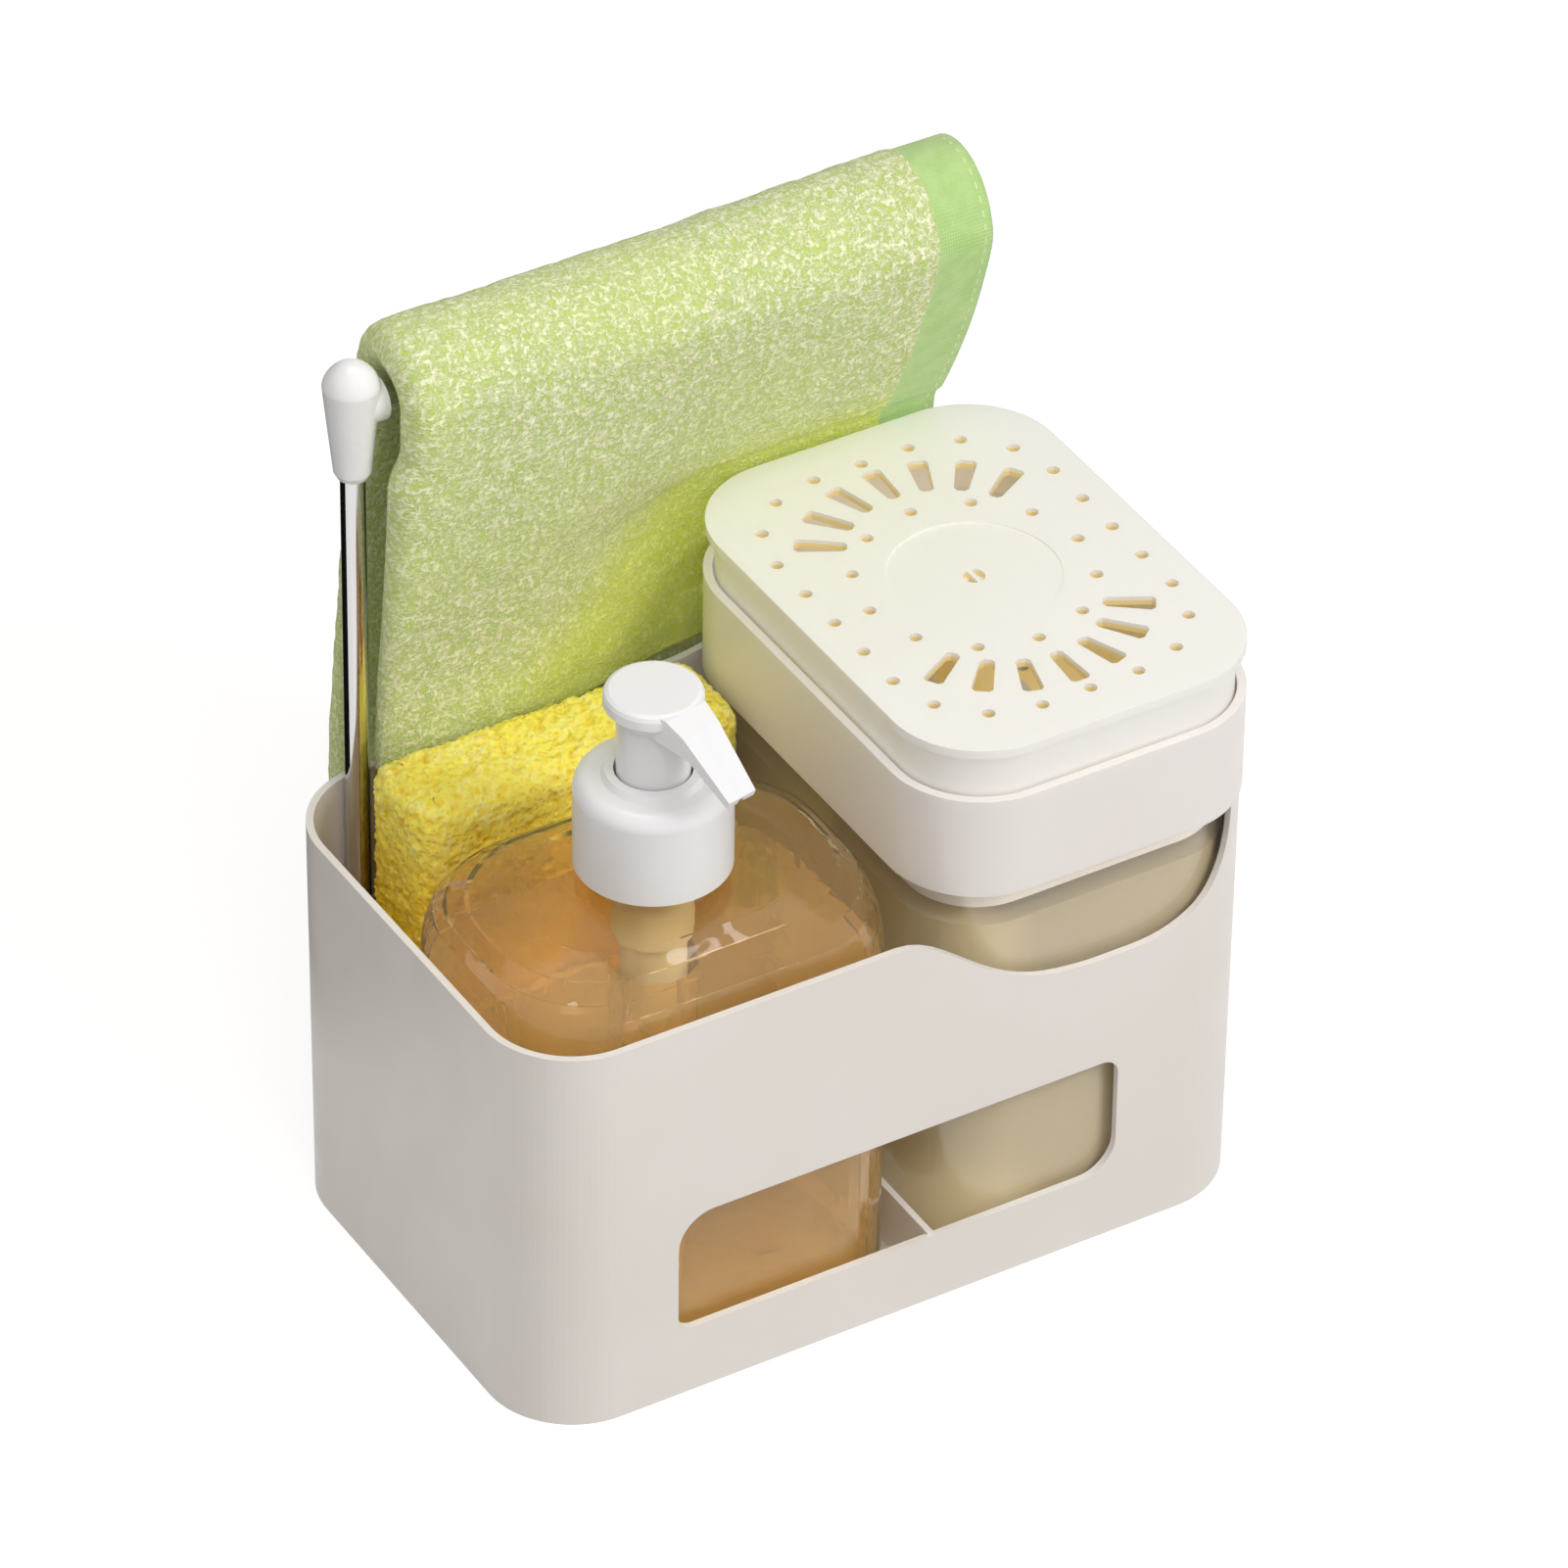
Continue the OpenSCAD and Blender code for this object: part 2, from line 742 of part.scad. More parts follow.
// Screw collar: straight skirt, rounded shoulder, and a raised ring round the hub
collar_round = 4;
collar_ring_r = 12.2;
collar_ring_h = 1.7;
collar_thread_gap = 0.6;
module pump_collar() {
    top = pump_collar_top;
    bottom = top - collar_h;
    inside = neck_r + collar_thread_gap;
    shoulder = [
        for (k = [0:curve_steps])
            let (a = 90 * k / curve_steps)
            [collar_r - collar_round + collar_round * cos(a), top - collar_round + collar_round * sin(a)]
    ];
    color("white") place_bottle() rotate_extrude() polygon(concat(
        [
            [hub_r + plate_gap, top + collar_ring_h],
            [hub_r + plate_gap, pump_mouth_z],
            [inside, pump_mouth_z],
            [inside, bottom],
            [collar_r, bottom]
        ],
        shoulder,
        [
            [collar_ring_r, top],
            [collar_ring_r - collar_ring_h / 2, top + collar_ring_h]
        ]
    ));
}

module pump_gasket() {
    color("gainsboro") place_bottle() translate([0, 0, neck_top_z]) difference() {
        cylinder(h = gasket_t, r = neck_r);
        translate([0, 0, -over]) cylinder(h = gasket_t + 2 * over, r = barrel_r + push_fit);
    }
}

module pump_barrel() {
    color("ivory", 0.7) place_bottle() translate([0, 0, pump_mouth_z]) engine_barrel();
}

module pump_bush() {
    color("ivory") place_bottle() translate([0, 0, pump_mouth_z]) engine_bush();
}

module pump_spring() {
    color("silver") place_bottle() translate([0, 0, pump_mouth_z]) engine_spring();
}

module pump_ball() {
    color("silver") place_bottle() translate([0, 0, pump_mouth_z]) engine_ball();
}

module bottle_dip_tube() {
    color("ivory", 0.7) place_bottle() translate([0, 0, pump_mouth_z])
        engine_tube(tube_bottom_z - pump_mouth_z);
}

module pump_piston() {
    color("ivory") place_bottle() translate([0, 0, pump_mouth_z]) engine_piston();
}

module pump_stem() {
    color("white") place_bottle() translate([0, 0, pump_mouth_z])
        engine_stem(head_rise - head_t);
}

// Pump head: a disc on the hub, with a wedge spout that falls to its tip
head_t = 7.4;
head_edge = 1.4;
spout_root_w = 15;
spout_mid = 15;
spout_mid_w = 11;
spout_tip_t = 1.8;
spout_under = 8.2;
spout_brow_share = 0.21;
spout_bore = 0.9;
channel_drop = 5;
join_gap = 0.4;
module spout() {
    tip_top = head_top_z - spout_drop;
    side = [
        [head_r / 2, head_top_z - join_gap],
        [head_r - head_edge / 2, head_top_z - join_gap],
        [spout_mid + head_edge, head_top_z - spout_drop * spout_brow_share],
        [spout_reach, tip_top],
        [spout_reach - head_edge / 2, tip_top - spout_tip_t],
        [spout_mid + 2 * head_edge, head_top_z - spout_under],
        [head_r / 2, head_top_z - head_t + join_gap]
    ];
    plan = [
        [0, spout_root_w / 2],
        [spout_mid, spout_mid_w / 2],
        [spout_reach, spout_tip_w / 2],
        [spout_reach, -spout_tip_w / 2],
        [spout_mid, -spout_mid_w / 2],
        [0, -spout_root_w / 2]
    ];
    intersection() {
        rotate([90, 0, 0])
            linear_extrude(spout_root_w + over, center = true) polygon(side);
        translate([0, 0, head_top_z - 2 * spout_drop])
            linear_extrude(2 * spout_drop + over) polygon(plan);
    }
}

module pump_head() {
    disc = [
        [0, head_top_z - head_t],
        [hub_r, head_top_z - head_t],
        [head_r, head_top_z - head_t / 2],
        [head_r, head_top_z - head_edge],
        [head_r - head_edge / 3, head_top_z - head_edge / 3],
        [head_r - head_edge, head_top_z],
        [0, head_top_z]
    ];
    channel_z = head_top_z - channel_drop;
    turn_r = spout_mid + head_edge;
    tip_fall = spout_drop + spout_tip_t - channel_drop;
    fall = atan(tip_fall / (spout_reach - turn_r));
    color("white") place_bottle() rotate([0, 0, spout_turn - 90]) difference() {
        union() {
            rotate_extrude() polygon(disc);
            spout();
            translate([0, 0, pump_mouth_z]) engine_hub(head_rise - head_t);
        }
        translate([0, 0, head_top_z - head_t - over])
            cylinder(h = head_t / 2 + over, r = stem_bore);
        translate([0, 0, channel_z])
            rotate([0, 90, 0]) cylinder(h = turn_r + join_gap, r = spout_bore + join_gap);
        translate([turn_r, 0, channel_z])
            rotate([0, 90 + fall, 0]) cylinder(h = spout_reach, r = spout_bore);
    }
}

// Soap box

module place_box() {
    translate([box_x, 0, 0]) children();
}

module soap_container() {
    color("lightyellow", 0.4) place_box() difference() {
        translate([0, 0, base_z])
            linear_extrude(container_top - base_z)
                rounded_plate(container_l, container_w, container_r);
        translate([0, 0, base_z + container_floor])
            linear_extrude(container_top)
                rounded_plate(
                    container_l - 2 * container_wall, container_w - 2 * container_wall,
                    container_r - container_wall
                );
    }
}

liquid_top_gap = 4;
module container_liquid() {
    low = base_z + container_floor + liquid_gap;
    top = seam_z - plug_h - liquid_top_gap;
    inset = container_wall + liquid_gap;
    color("khaki", 0.6) place_box() difference() {
        translate([0, 0, low])
            linear_extrude(top - low)
                rounded_plate(container_l - 2 * inset, container_w - 2 * inset, container_r - inset);
        translate([0, 0, box_mouth_z - nozzle_end - liquid_gap])
            cylinder(h = nozzle_end, r = barrel_r + liquid_gap);
        translate([0, 0, tube_bottom_z - tube_cut])
            cylinder(h = nozzle_end, r = tube_r + liquid_gap);
    }
}

// Thin seal between the container's edge and the collar
seal_w = 2.4;
seal_inset = 0.5;
module container_seal() {
    color("gray") place_box() translate([0, 0, container_top])
        rounded_ring(
            container_l - 2 * seal_inset, container_w - 2 * seal_inset, container_r - seal_inset,
            seal_w, seal_t
        );
}

// Collar: outer wall, deck with drain holes, plug skirt inside the container
plug_wall = 1.4;
plug_play = 1.2;
deck_drain_r = 1.6;
deck_drains = 8;
deck_drain_circle = 21;
module box_collar() {
    plug_in = container_wall + plug_play + plate_gap;
    color("floralwhite") place_box() difference() {
        union() {
            translate([0, 0, seam_z])
                rounded_ring(box_collar_l, box_collar_w, box_collar_r, box_collar_wall, box_collar_h);
            translate([0, 0, seam_z])
                linear_extrude(deck_t)
                    rounded_plate(box_collar_l - over, box_collar_w - over, box_collar_r - over / 2);
            translate([0, 0, seam_z - plug_h])
                rounded_ring(
                    container_l - 2 * plug_in, container_w - 2 * plug_in, container_r - plug_in,
                    plug_wall, plug_h + deck_t / 2
                );
        }
        translate([0, 0, seam_z - over])
            cylinder(h = deck_t + 2 * over, r = barrel_r + push_fit);
        for (k = [0:deck_drains - 1])
            rotate([0, 0, 360 * (k + 0.5) / deck_drains])
                translate([deck_drain_circle, 0, seam_z - over])
                    cylinder(h = deck_t + 2 * over, r = deck_drain_r);
    }
}

module box_barrel() {
    color("ivory", 0.7) place_box() translate([0, 0, box_mouth_z]) engine_barrel();
}

// Hexagonal nut that clamps the barrel's flange to the deck from below
nut_h = 5;
nut_r = 15;
module box_barrel_nut() {
    color("ivory") place_box() translate([0, 0, seam_z - nut_h]) difference() {
        cylinder(h = nut_h, r = nut_r, $fn = 6);
        translate([0, 0, -over]) cylinder(h = nut_h + 2 * over, r = barrel_r + push_fit);
    }
}

module box_bush() {
    color("ivory") place_box() translate([0, 0, box_mouth_z]) engine_bush();
}

module box_spring() {
    color("silver") place_box() translate([0, 0, box_mouth_z]) engine_spring();
}

module box_ball() {
    color("silver") place_box() translate([0, 0, box_mouth_z]) engine_ball();
}

module box_dip_tube() {
    color("ivory", 0.7) place_box() translate([0, 0, box_mouth_z])
        engine_tube(tube_bottom_z - box_mouth_z);
}

module box_piston() {
    color("ivory") place_box() translate([0, 0, box_mouth_z]) engine_piston();
}

module box_stem() {
    color("white") place_box() translate([0, 0, box_mouth_z])
        engine_stem(plate_under_z - box_mouth_z);
}

// Press plate

// A point at a given way along a rounded rectangle, starting in the middle of its right side
function along_side(l, w, r, s) =
    let (
        up = w / 2 - r,
        bend = PI * r / 2,
        across = l / 2 - r,
        quarter = up + bend + across,
        q = floor(s / quarter),
        t = s - q * quarter,
        odd = q % 2 == 1,
        first = odd ? across : up,
        p = t < first
            ? (odd ? [t, w / 2] : [l / 2, t])
            : t < first + bend
                ? let (a = (t - first) / r * 180 / PI)
                    odd
                        ? [across + r * sin(a), up + r * cos(a)]
                        : [across + r * cos(a), up + r * sin(a)]
                : (odd ? [l / 2, up - (t - first - bend)] : [across - (t - first - bend), w / 2])
    )
    [p[0] * (q == 1 || q == 2 ? -1 : 1), p[1] * (q > 1 ? -1 : 1)];

ring_l_share = 0.826;
ring_w_share = 0.815;
ring_r_share = 1.07;
inner_ring_share = 0.62;
fan_centre_share = 0.176;
fan_reach_share = 0.484;
fan_step = 19;
fan_slot_in = 3.6;
fan_slot_out = 5.2;

module plate_holes() {
    l = plate_l * ring_l_share;
    w = plate_w * ring_w_share;
    r = plate_r * ring_r_share;
    around = 2 * (l + w) - 8 * r + 2 * PI * r;
    for (k = [0:outer_holes - 1])
        translate(along_side(l, w, r, around * k / outer_holes)) circle(hole_r);
    for (k = [0:inner_holes - 1])
        rotate(360 * k / inner_holes)
            translate([plate_l / 2 * inner_ring_share, 0]) circle(hole_r);
}

// One fan slot: wider at its outer end
module fan_slot() {
    half = fan_slot_l / 2;
    soft = fan_slot_in / 4;
    polygon([
        [-half, -fan_slot_in / 2 + soft],
        [-half, fan_slot_in / 2 - soft],
        [-half + soft, fan_slot_in / 2],
        [half - soft, fan_slot_out / 2],
        [half, fan_slot_out / 2 - soft],
        [half, -fan_slot_out / 2 + soft],
        [half - soft, -fan_slot_out / 2],
        [-half + soft, -fan_slot_in / 2]
    ]);
}

module plate_fans() {
    centre = plate_w / 2 * fan_centre_share;
    reach = plate_w / 2 * fan_reach_share;
    for (side = [90, 270], k = [0:fan_slots - 1])
        rotate(side)
            translate([centre, 0])
                rotate((k - (fan_slots - 1) / 2) * fan_step)
                    translate([reach, 0]) fan_slot();
}

dish_r = 21;
dish_depth = 0.5;
outlet_r = 2.7;
outlet_bar = 1.1;
module press_plate() {
    color("floralwhite") place_box() difference() {
        union() {
            translate([0, 0, plate_under_z])
                linear_extrude(plate_t) rounded_plate(plate_l, plate_w, plate_r);
            translate([0, 0, plate_under_z - skirt_h])
                rounded_ring(skirt_l, skirt_w, skirt_r, skirt_wall, skirt_h + plate_t / 2);
            translate([0, 0, box_mouth_z]) engine_hub(plate_under_z - box_mouth_z);
        }
        translate([0, 0, plate_under_z - over])
            linear_extrude(plate_t + 2 * over) {
                plate_holes();
                plate_fans();
                difference() {
                    circle(outlet_r);
                    square([outlet_bar, 3 * outlet_r], center = true);
                }
            }
        translate([0, 0, plate_top_z - dish_depth]) cylinder(h = over, r = dish_r);
    }
}

// Towel rail

module rail_post() {
    color("silver") translate([post_x, post_y, base_z])
        cylinder(h = bar_h - boss_r + push_fit - base_z, r = rod_r);
}

// Elbow: a tapered cap on the post with a side boss for the bar
elbow_foot_wall = 0.7;
elbow_foot_flare = 0.8;
elbow_flare_share = 0.05;
elbow_waist_share = 0.5;
elbow_waist_r_share = 0.87;
elbow_dome_share = 0.8;
elbow_dome_pinch_share = 0.12;
module rail_elbow() {
    h = elbow_h;
    r = elbow_r;
    foot = rod_r + elbow_foot_wall;
    dome = 1 - elbow_dome_share;
    color("whitesmoke") translate([post_x, post_y, elbow_bottom_z]) difference() {
        union() {
            rotate_extrude() polygon(concat(
                [
                    [0, 0],
                    [foot, 0],
                    [foot + elbow_foot_flare, elbow_flare_share * h],
                    [elbow_waist_r_share * r, elbow_waist_share * h]
                ],
                [
                    for (k = [0:curve_steps])
                        let (a = 90 * k / curve_steps)
                        [
                            r * cos(a) * (1 - elbow_dome_pinch_share * sin(a)),
                            h * (elbow_dome_share + dome * sin(a))
                        ]
                ]
            ));
            translate([0, 0, bar_h - elbow_bottom_z])
                rotate([0, 90, 0]) cylinder(h = boss_reach, r = boss_r);
        }
        translate([0, 0, -over])
            cylinder(h = bar_h - boss_r + 2 * push_fit - elbow_bottom_z + over, r = rod_r + push_fit);
        translate([rod_r - push_fit, 0, bar_h - elbow_bottom_z])
            rotate([0, 90, 0]) cylinder(h = 2 * elbow_r, r = rod_r + push_fit);
    }
}

module rail_bar() {
    color("silver") translate([bar_start, post_y, bar_h])
        rotate([0, 90, 0]) cylinder(h = bar_end - bar_start, r = rod_r);
}

// Soft cap over the bar's free end
module rail_end_cap() {
    color("whitesmoke") translate([bar_end + cap_wall + push_fit, post_y, bar_h])
        rotate([0, -90, 0]) difference() {
            cylinder(h = cap_l + cap_wall, r = rod_r + cap_wall - running);
            translate([0, 0, cap_wall]) cylinder(h = cap_l + over, r = rod_r + push_fit);
        }
}

// Towel

// Section of the draped towel across the bar. The left section hangs free, and
// the right one is pushed back behind the soap box. Points run from the front
// hem over the bar to the back hem, outside first and then back along the inside.
towel_gap = 0.5;
towel_hang = bar_h - rim_h - towel_front_hem;
box_back_y = box_collar_w / 2;
sponge_back_y = sponge_wall_back + 2 * seat_gap + sponge_t;
towel_thin = 6;
fold_steps = 10;
// How soon below the bar the back and the front thin down to two layers of cloth
back_thinning = 2.6;
front_thinning = 1.2;

// The front leans forward above the press plate, and hangs straight below it.
// Drop below the bar, and place of the front's outer face, as shares
lean_start_share = (bar_h - plate_top_z - seam_gap) / towel_hang;
lean_step_shares = [1, 0.88, 0.67, 0.42, 0.18];
front_drop_shares = concat(
    [1, (1 + lean_start_share) / 2],
    [for (k = lean_step_shares) k * lean_start_share]
);
front_free_shares = [0, 0.13, 0.43, 0.52, 0.69, 0.85, 0.97];
front_pushed_shares = [0, 0, 0, 0.17, 0.43, 0.69, 0.89];
front_face_y = post_y - towel_fold_r;
back_face_y = post_y + towel_fold_r;
hem_clearance = 2.4;
free_hem_y = sponge_back_y + seat_gap + hem_clearance;
pushed_hem_y = box_back_y + 2 * towel_gap;
cap_r = rod_r + cap_wall + seat_gap;

function front_outside(w) = [
    for (k = [0:6])
        let (
            y_free = blend(free_hem_y, front_face_y, front_free_shares[k]),
            y_pushed = blend(pushed_hem_y, front_face_y, front_pushed_shares[k])
        )
        [blend(y_free, y_pushed, w), bar_h - towel_hang * front_drop_shares[k]]
];
function fold_arc(r, rise, from, to) = [
    for (k = [0:fold_steps])
        let (a = blend(from, to, k / fold_steps))
        [post_y - r * cos(a), bar_h + (r + rise) * sin(a)]
];
towel_back_drop = bar_h - rim_h + towel_back_hem;
back_lean = 4;
back_outside = [
    for (k = [6:-1:0])
        let (u = front_drop_shares[k])
        [back_face_y + back_lean * u, bar_h - towel_back_drop * u]
];
// The inside of the back layer, a layer's thickness before its outside
function back_inner_y(u) =
    back_face_y + back_lean * u - blend(towel_fold_r - cap_r, towel_thin, ease(u * back_thinning));
back_inside = [
    for (u = front_drop_shares) [back_inner_y(u), bar_h - towel_back_drop * u]
];
// The inside of the front layer, a layer's thickness behind its outside, and clear
// of the bar's end cap until it is below the cap
cap_slope = 2;
function front_inside(w) = [
    for (k = [0:6])
        let (
            p = front_outside(w)[k],
            u = front_drop_shares[k],
            thick = blend(towel_fold_r - cap_r, towel_thin, ease(u * front_thinning)),
            back_u = (bar_h - p[1]) / towel_back_drop,
            by_the_cap = post_y - cap_r + cap_slope * max(0, bar_h - p[1] - cap_r)
        )
        [min(p[0] + thick, back_inner_y(back_u) - towel_gap, by_the_cap), p[1]]
];
function towel_outer(w, rise) = concat(
    front_outside(w),
    fold_arc(towel_fold_r, rise, 0, 180),
    back_outside
);
function towel_inner(w) = concat(
    front_inside(w),
    fold_arc(cap_r, 0, 0, 180),
    [for (k = [6:-1:0]) back_inside[k]]
);

// Stations along the bar: share of the width, and how far the two faces draw
// together there, which rounds the folded left edge and the hem on the right
towel_station_shares = concat(
    [[0, 0.72], [0.006, 0.4], [0.018, 0.12]],
    [for (k = [0:13]) [0.035 + 0.93 * k / 13, 0]],
    [[0.985, 0.08], [0.996, 0.3], [1, 0.55]]
);
towel_x0 = post_x + boss_reach + seat_gap;
towel_x1 = towel_x0 + towel_l;
// The soap box's corner pushes the front back, over this much of the towel's width
push_corner_share = 0.68;
push_l = 65;
push_end = box_x - box_collar_l / 2 + push_corner_share * box_collar_r;
push_start_share = (push_end - push_l - towel_x0) / towel_l;
push_end_share = (push_end - towel_x0) / towel_l;
crest_rise = 2.5;
crest_start_share = 0.4;
crest_end_share = 0.9;
// The left edge stands further out below the elbow, most of all at the back
front_spread = 3.2;
back_spread = 5.3;
function left_edge(p) =
    let (drop = bar_h - p[1])
    towel_x0 - (p[0] < post_y + towel_fold_r - towel_thin
        ? front_spread * ease((drop - elbow_h / 3) / (elbow_h / 3))
        : back_spread * ease(drop / towel_back_drop));
module towel() {
    loops = [
        for (st = towel_station_shares)
            let (
                w = ease((st[0] - push_start_share) / (push_end_share - push_start_share)),
                crest = ease((st[0] - crest_start_share) / (crest_end_share - crest_start_share)),
                outer = towel_outer(w, crest_rise * crest),
                inner = towel_inner(w),
                n = len(outer),
                soft = st[1] / 2,
                drawn = concat(
                    [for (i = [0:n - 1]) blend(outer[i], inner[i], soft)],
                    [for (i = [n - 1:-1:0]) blend(inner[i], outer[i], soft)]
                )
            )
            [for (p = drawn) [blend(left_edge(p), towel_x1, st[0]), p[0], p[1]]]
    ];
    n = len(loops[0]);
    rows = len(loops) - 1;
    last = rows * n;
    sides = [
        for (k = [0:rows - 1], i = [0:n - 1])
            let (j = (i + 1) % n, a = k * n + i, b = k * n + j)
            each [[a, b + n, a + n], [a, b, b + n]]
    ];
    ends = [
        for (i = [0:n / 2 - 2])
            let (j = i + 1, c = n - 2 - i, d = n - 1 - i)
            each [
                [c, j, i], [d, c, i],
                [last + i, last + j, last + c], [last + i, last + c, last + d]
            ]
    ];
    color("yellowgreen") polyhedron(points = [for (ring = loops) each ring], faces = concat(sides, ends));
}

// Sponge

module sponge() {
    r = sponge_r;
    right = box_divider_left - sponge_side_gap;
    front = sponge_wall_back + 2 * seat_gap;
    color("gold") hull()
        for (x = [right - sponge_l + r, right - r], y = [front + r, front + sponge_t - r])
            for (z = [floor_z + seat_gap + r, floor_z + sponge_h - r])
                translate([x, y, z]) sphere(r, $fn = 24);
}

tray_shell();
soap_container();
container_liquid();
container_seal();
box_collar();
box_barrel();
box_barrel_nut();
box_bush();
box_spring();
box_ball();
box_dip_tube();
press_plate();
box_stem();
box_piston();
bottle_shell();
bottle_liquid();
pump_collar();
pump_gasket();
pump_barrel();
pump_bush();
pump_spring();
pump_ball();
bottle_dip_tube();
pump_piston();
pump_head();
pump_stem();
rail_post();
rail_elbow();
rail_bar();
rail_end_cap();
towel();
sponge();
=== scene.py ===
# %% [markdown]
# # A sink-side soap caddy
# One moulded tray holds a lotion pump bottle, a soap box with a press plate, a
# sponge, and a towel on a steel rail. The hard pieces come from the CAD model
# and keep their shapes: here they only get their finishes. The towel and the
# sponge are made anew, because cloth and foam need soft surfaces.

# %% Load the CAD model as a fixed frame
import math

import bmesh
import bpy
import numpy as np
from mathutils import Matrix, Vector


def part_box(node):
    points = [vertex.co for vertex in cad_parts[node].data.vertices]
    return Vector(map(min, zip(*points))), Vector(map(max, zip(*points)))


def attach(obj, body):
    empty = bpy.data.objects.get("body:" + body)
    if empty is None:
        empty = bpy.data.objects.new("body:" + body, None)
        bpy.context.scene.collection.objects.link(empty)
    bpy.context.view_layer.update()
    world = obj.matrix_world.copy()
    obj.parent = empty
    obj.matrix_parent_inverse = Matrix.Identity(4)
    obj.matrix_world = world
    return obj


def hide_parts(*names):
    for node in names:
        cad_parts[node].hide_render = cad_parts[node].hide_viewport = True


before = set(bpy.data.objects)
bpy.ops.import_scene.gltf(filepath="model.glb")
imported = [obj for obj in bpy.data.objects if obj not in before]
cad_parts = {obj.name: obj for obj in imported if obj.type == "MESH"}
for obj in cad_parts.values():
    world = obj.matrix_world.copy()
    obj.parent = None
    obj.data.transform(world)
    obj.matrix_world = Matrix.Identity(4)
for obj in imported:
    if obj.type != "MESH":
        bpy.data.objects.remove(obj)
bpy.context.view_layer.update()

MM = 0.001


def in_scene(title, data):
    """A new object with this data, linked into the scene."""
    thing = bpy.data.objects.new(title, data)
    bpy.context.scene.collection.objects.link(thing)
    return thing


# %% [markdown]
# ## Camera
# The picture was taken with a long lens from the left front, looking down.
# A long lens keeps upright edges nearly parallel. The camera's axes are worked
# out from its place and its target, then turned a little about its own line of
# sight, because the camera wasn't held quite level.

# %% Put the camera at the picture's angle
PICTURE_SIDE = 1601
SENSOR_MM = 36
FOCAL_PIXELS = 11007.126
camera_place = np.array([-1.039456, -1.713448, 1.640969])
camera_target = np.array([0.021845, 0.031203, 0.086502])
camera_roll = math.radians(0.742)

ahead = camera_target - camera_place
ahead /= np.linalg.norm(ahead)
level_right = np.cross(ahead, [0, 0, 1])
level_right /= np.linalg.norm(level_right)
level_up = np.cross(level_right, ahead)
right = math.cos(camera_roll) * level_right + math.sin(camera_roll) * level_up
up = math.cos(camera_roll) * level_up - math.sin(camera_roll) * level_right

camera_data = bpy.data.cameras.new("picture_camera")
camera_data.sensor_width = SENSOR_MM
camera_data.lens = FOCAL_PIXELS / PICTURE_SIDE * SENSOR_MM
camera_data.clip_start, camera_data.clip_end = 0.1, 50
camera = in_scene("picture_camera", camera_data)
camera.matrix_world = Matrix((
    (right[0], up[0], -ahead[0], camera_place[0]),
    (right[1], up[1], -ahead[1], camera_place[1]),
    (right[2], up[2], -ahead[2], camera_place[2]),
    (0, 0, 0, 1),
))
bpy.context.scene.camera = camera
bpy.context.scene.view_settings.view_transform = "Standard"
print("lens in mm:", round(camera_data.lens, 1))

# %% [markdown]
# ## A small way to wire shader nodes
# Every finish below is a network of nodes. Adding nodes one by one takes many
# lines, so `put` adds a node, sets its options, and either sets or wires each
# input in one call. The helpers after it do the same for the steps and the
# patterns that come up most.

# %% Helpers that wire nodes
def feed(tree, socket, value):
    """Wire an output socket into an input, or set a plain value on it."""
    if isinstance(value, bpy.types.NodeSocket):
        tree.links.new(value, socket)
    else:
        socket.default_value = value


def put(tree, kind, inputs=None, **options):
    """Add one node; an input is a plain value, or the output socket that feeds it."""
    node = tree.nodes.new("ShaderNode" + kind)
    for name, value in options.items():
        setattr(node, name, value)
    for key, value in (inputs or {}).items():
        feed(tree, node.inputs[key], value)
    return node


def mixed(tree, share, first, second):
    """Colour between first and second, by a share from 0 to 1."""
    return put(tree, "Mix", {0: share, 6: first, 7: second}, data_type="RGBA").outputs[2]


def ramped(tree, value, low, high, to_low=0.0, to_high=1.0):
    """A smooth step: value from low to high becomes to_low to to_high."""
    return put(tree, "MapRange", {
        "Value": value, "From Min": low, "From Max": high, "To Min": to_low, "To Max": to_high,
    }, interpolation_type="SMOOTHSTEP").outputs["Result"]


def worked(tree, how, first, second=0.0):
    """One sum on numbers, such as POWER or MAXIMUM; SINE needs only the first."""
    return put(tree, "Math", {0: first, 1: second}, operation=how).outputs[0]


def times(tree, first, second):
    """The product of two numbers or sockets."""
    return worked(tree, "MULTIPLY", first, second)


def plus(tree, first, second):
    """The sum of two numbers or sockets."""
    return worked(tree, "ADD", first, second)


def noise(tree, point, per_metre, detail, flat=False, **more):
    """Noise about 0.5, with so many grains in a metre; flat on a cloth's own map."""
    return put(tree, "TexNoise", {
        "Vector": point, "Scale": per_metre, "Detail": detail, **more,
    }, noise_dimensions="2D" if flat else "3D").outputs["Fac"]


def cells(tree, point, per_metre, randomness=1.0, flat=False):
    """Distance to the middle of the nearest cell, with so many cells in a metre."""
    return put(tree, "TexVoronoi", {
        "Vector": point, "Scale": per_metre, "Randomness": randomness,
    }, voronoi_dimensions="2D" if flat else "3D").outputs["Distance"]


def rgb(red, green, blue):
    """A colour with full alpha."""
    return (red, green, blue, 1.0)


def new_paint(title, **plain):
    """A material, its tree and its shader; plain values go on the shader's own sockets."""
    material = bpy.data.materials.new(title)
    material.use_nodes = True
    shader = material.node_tree.nodes["Principled BSDF"]
    for name, value in plain.items():
        shader.inputs[name.replace("_", " ")].default_value = value
    return material, material.node_tree, shader


# %% [markdown]
# ## Light and background
# Two soft panels and an even sky light the caddy, as in a product studio. The
# power of a panel is worked out from its distance, so that a white card facing
# it would reflect a known share of white. The shares of sky and panels add up
# to about one on a level surface, so colours render as they are written. The
# background is white only to the camera, to gloss and to clear pieces: that
# whitens the picture without throwing more light on the object.

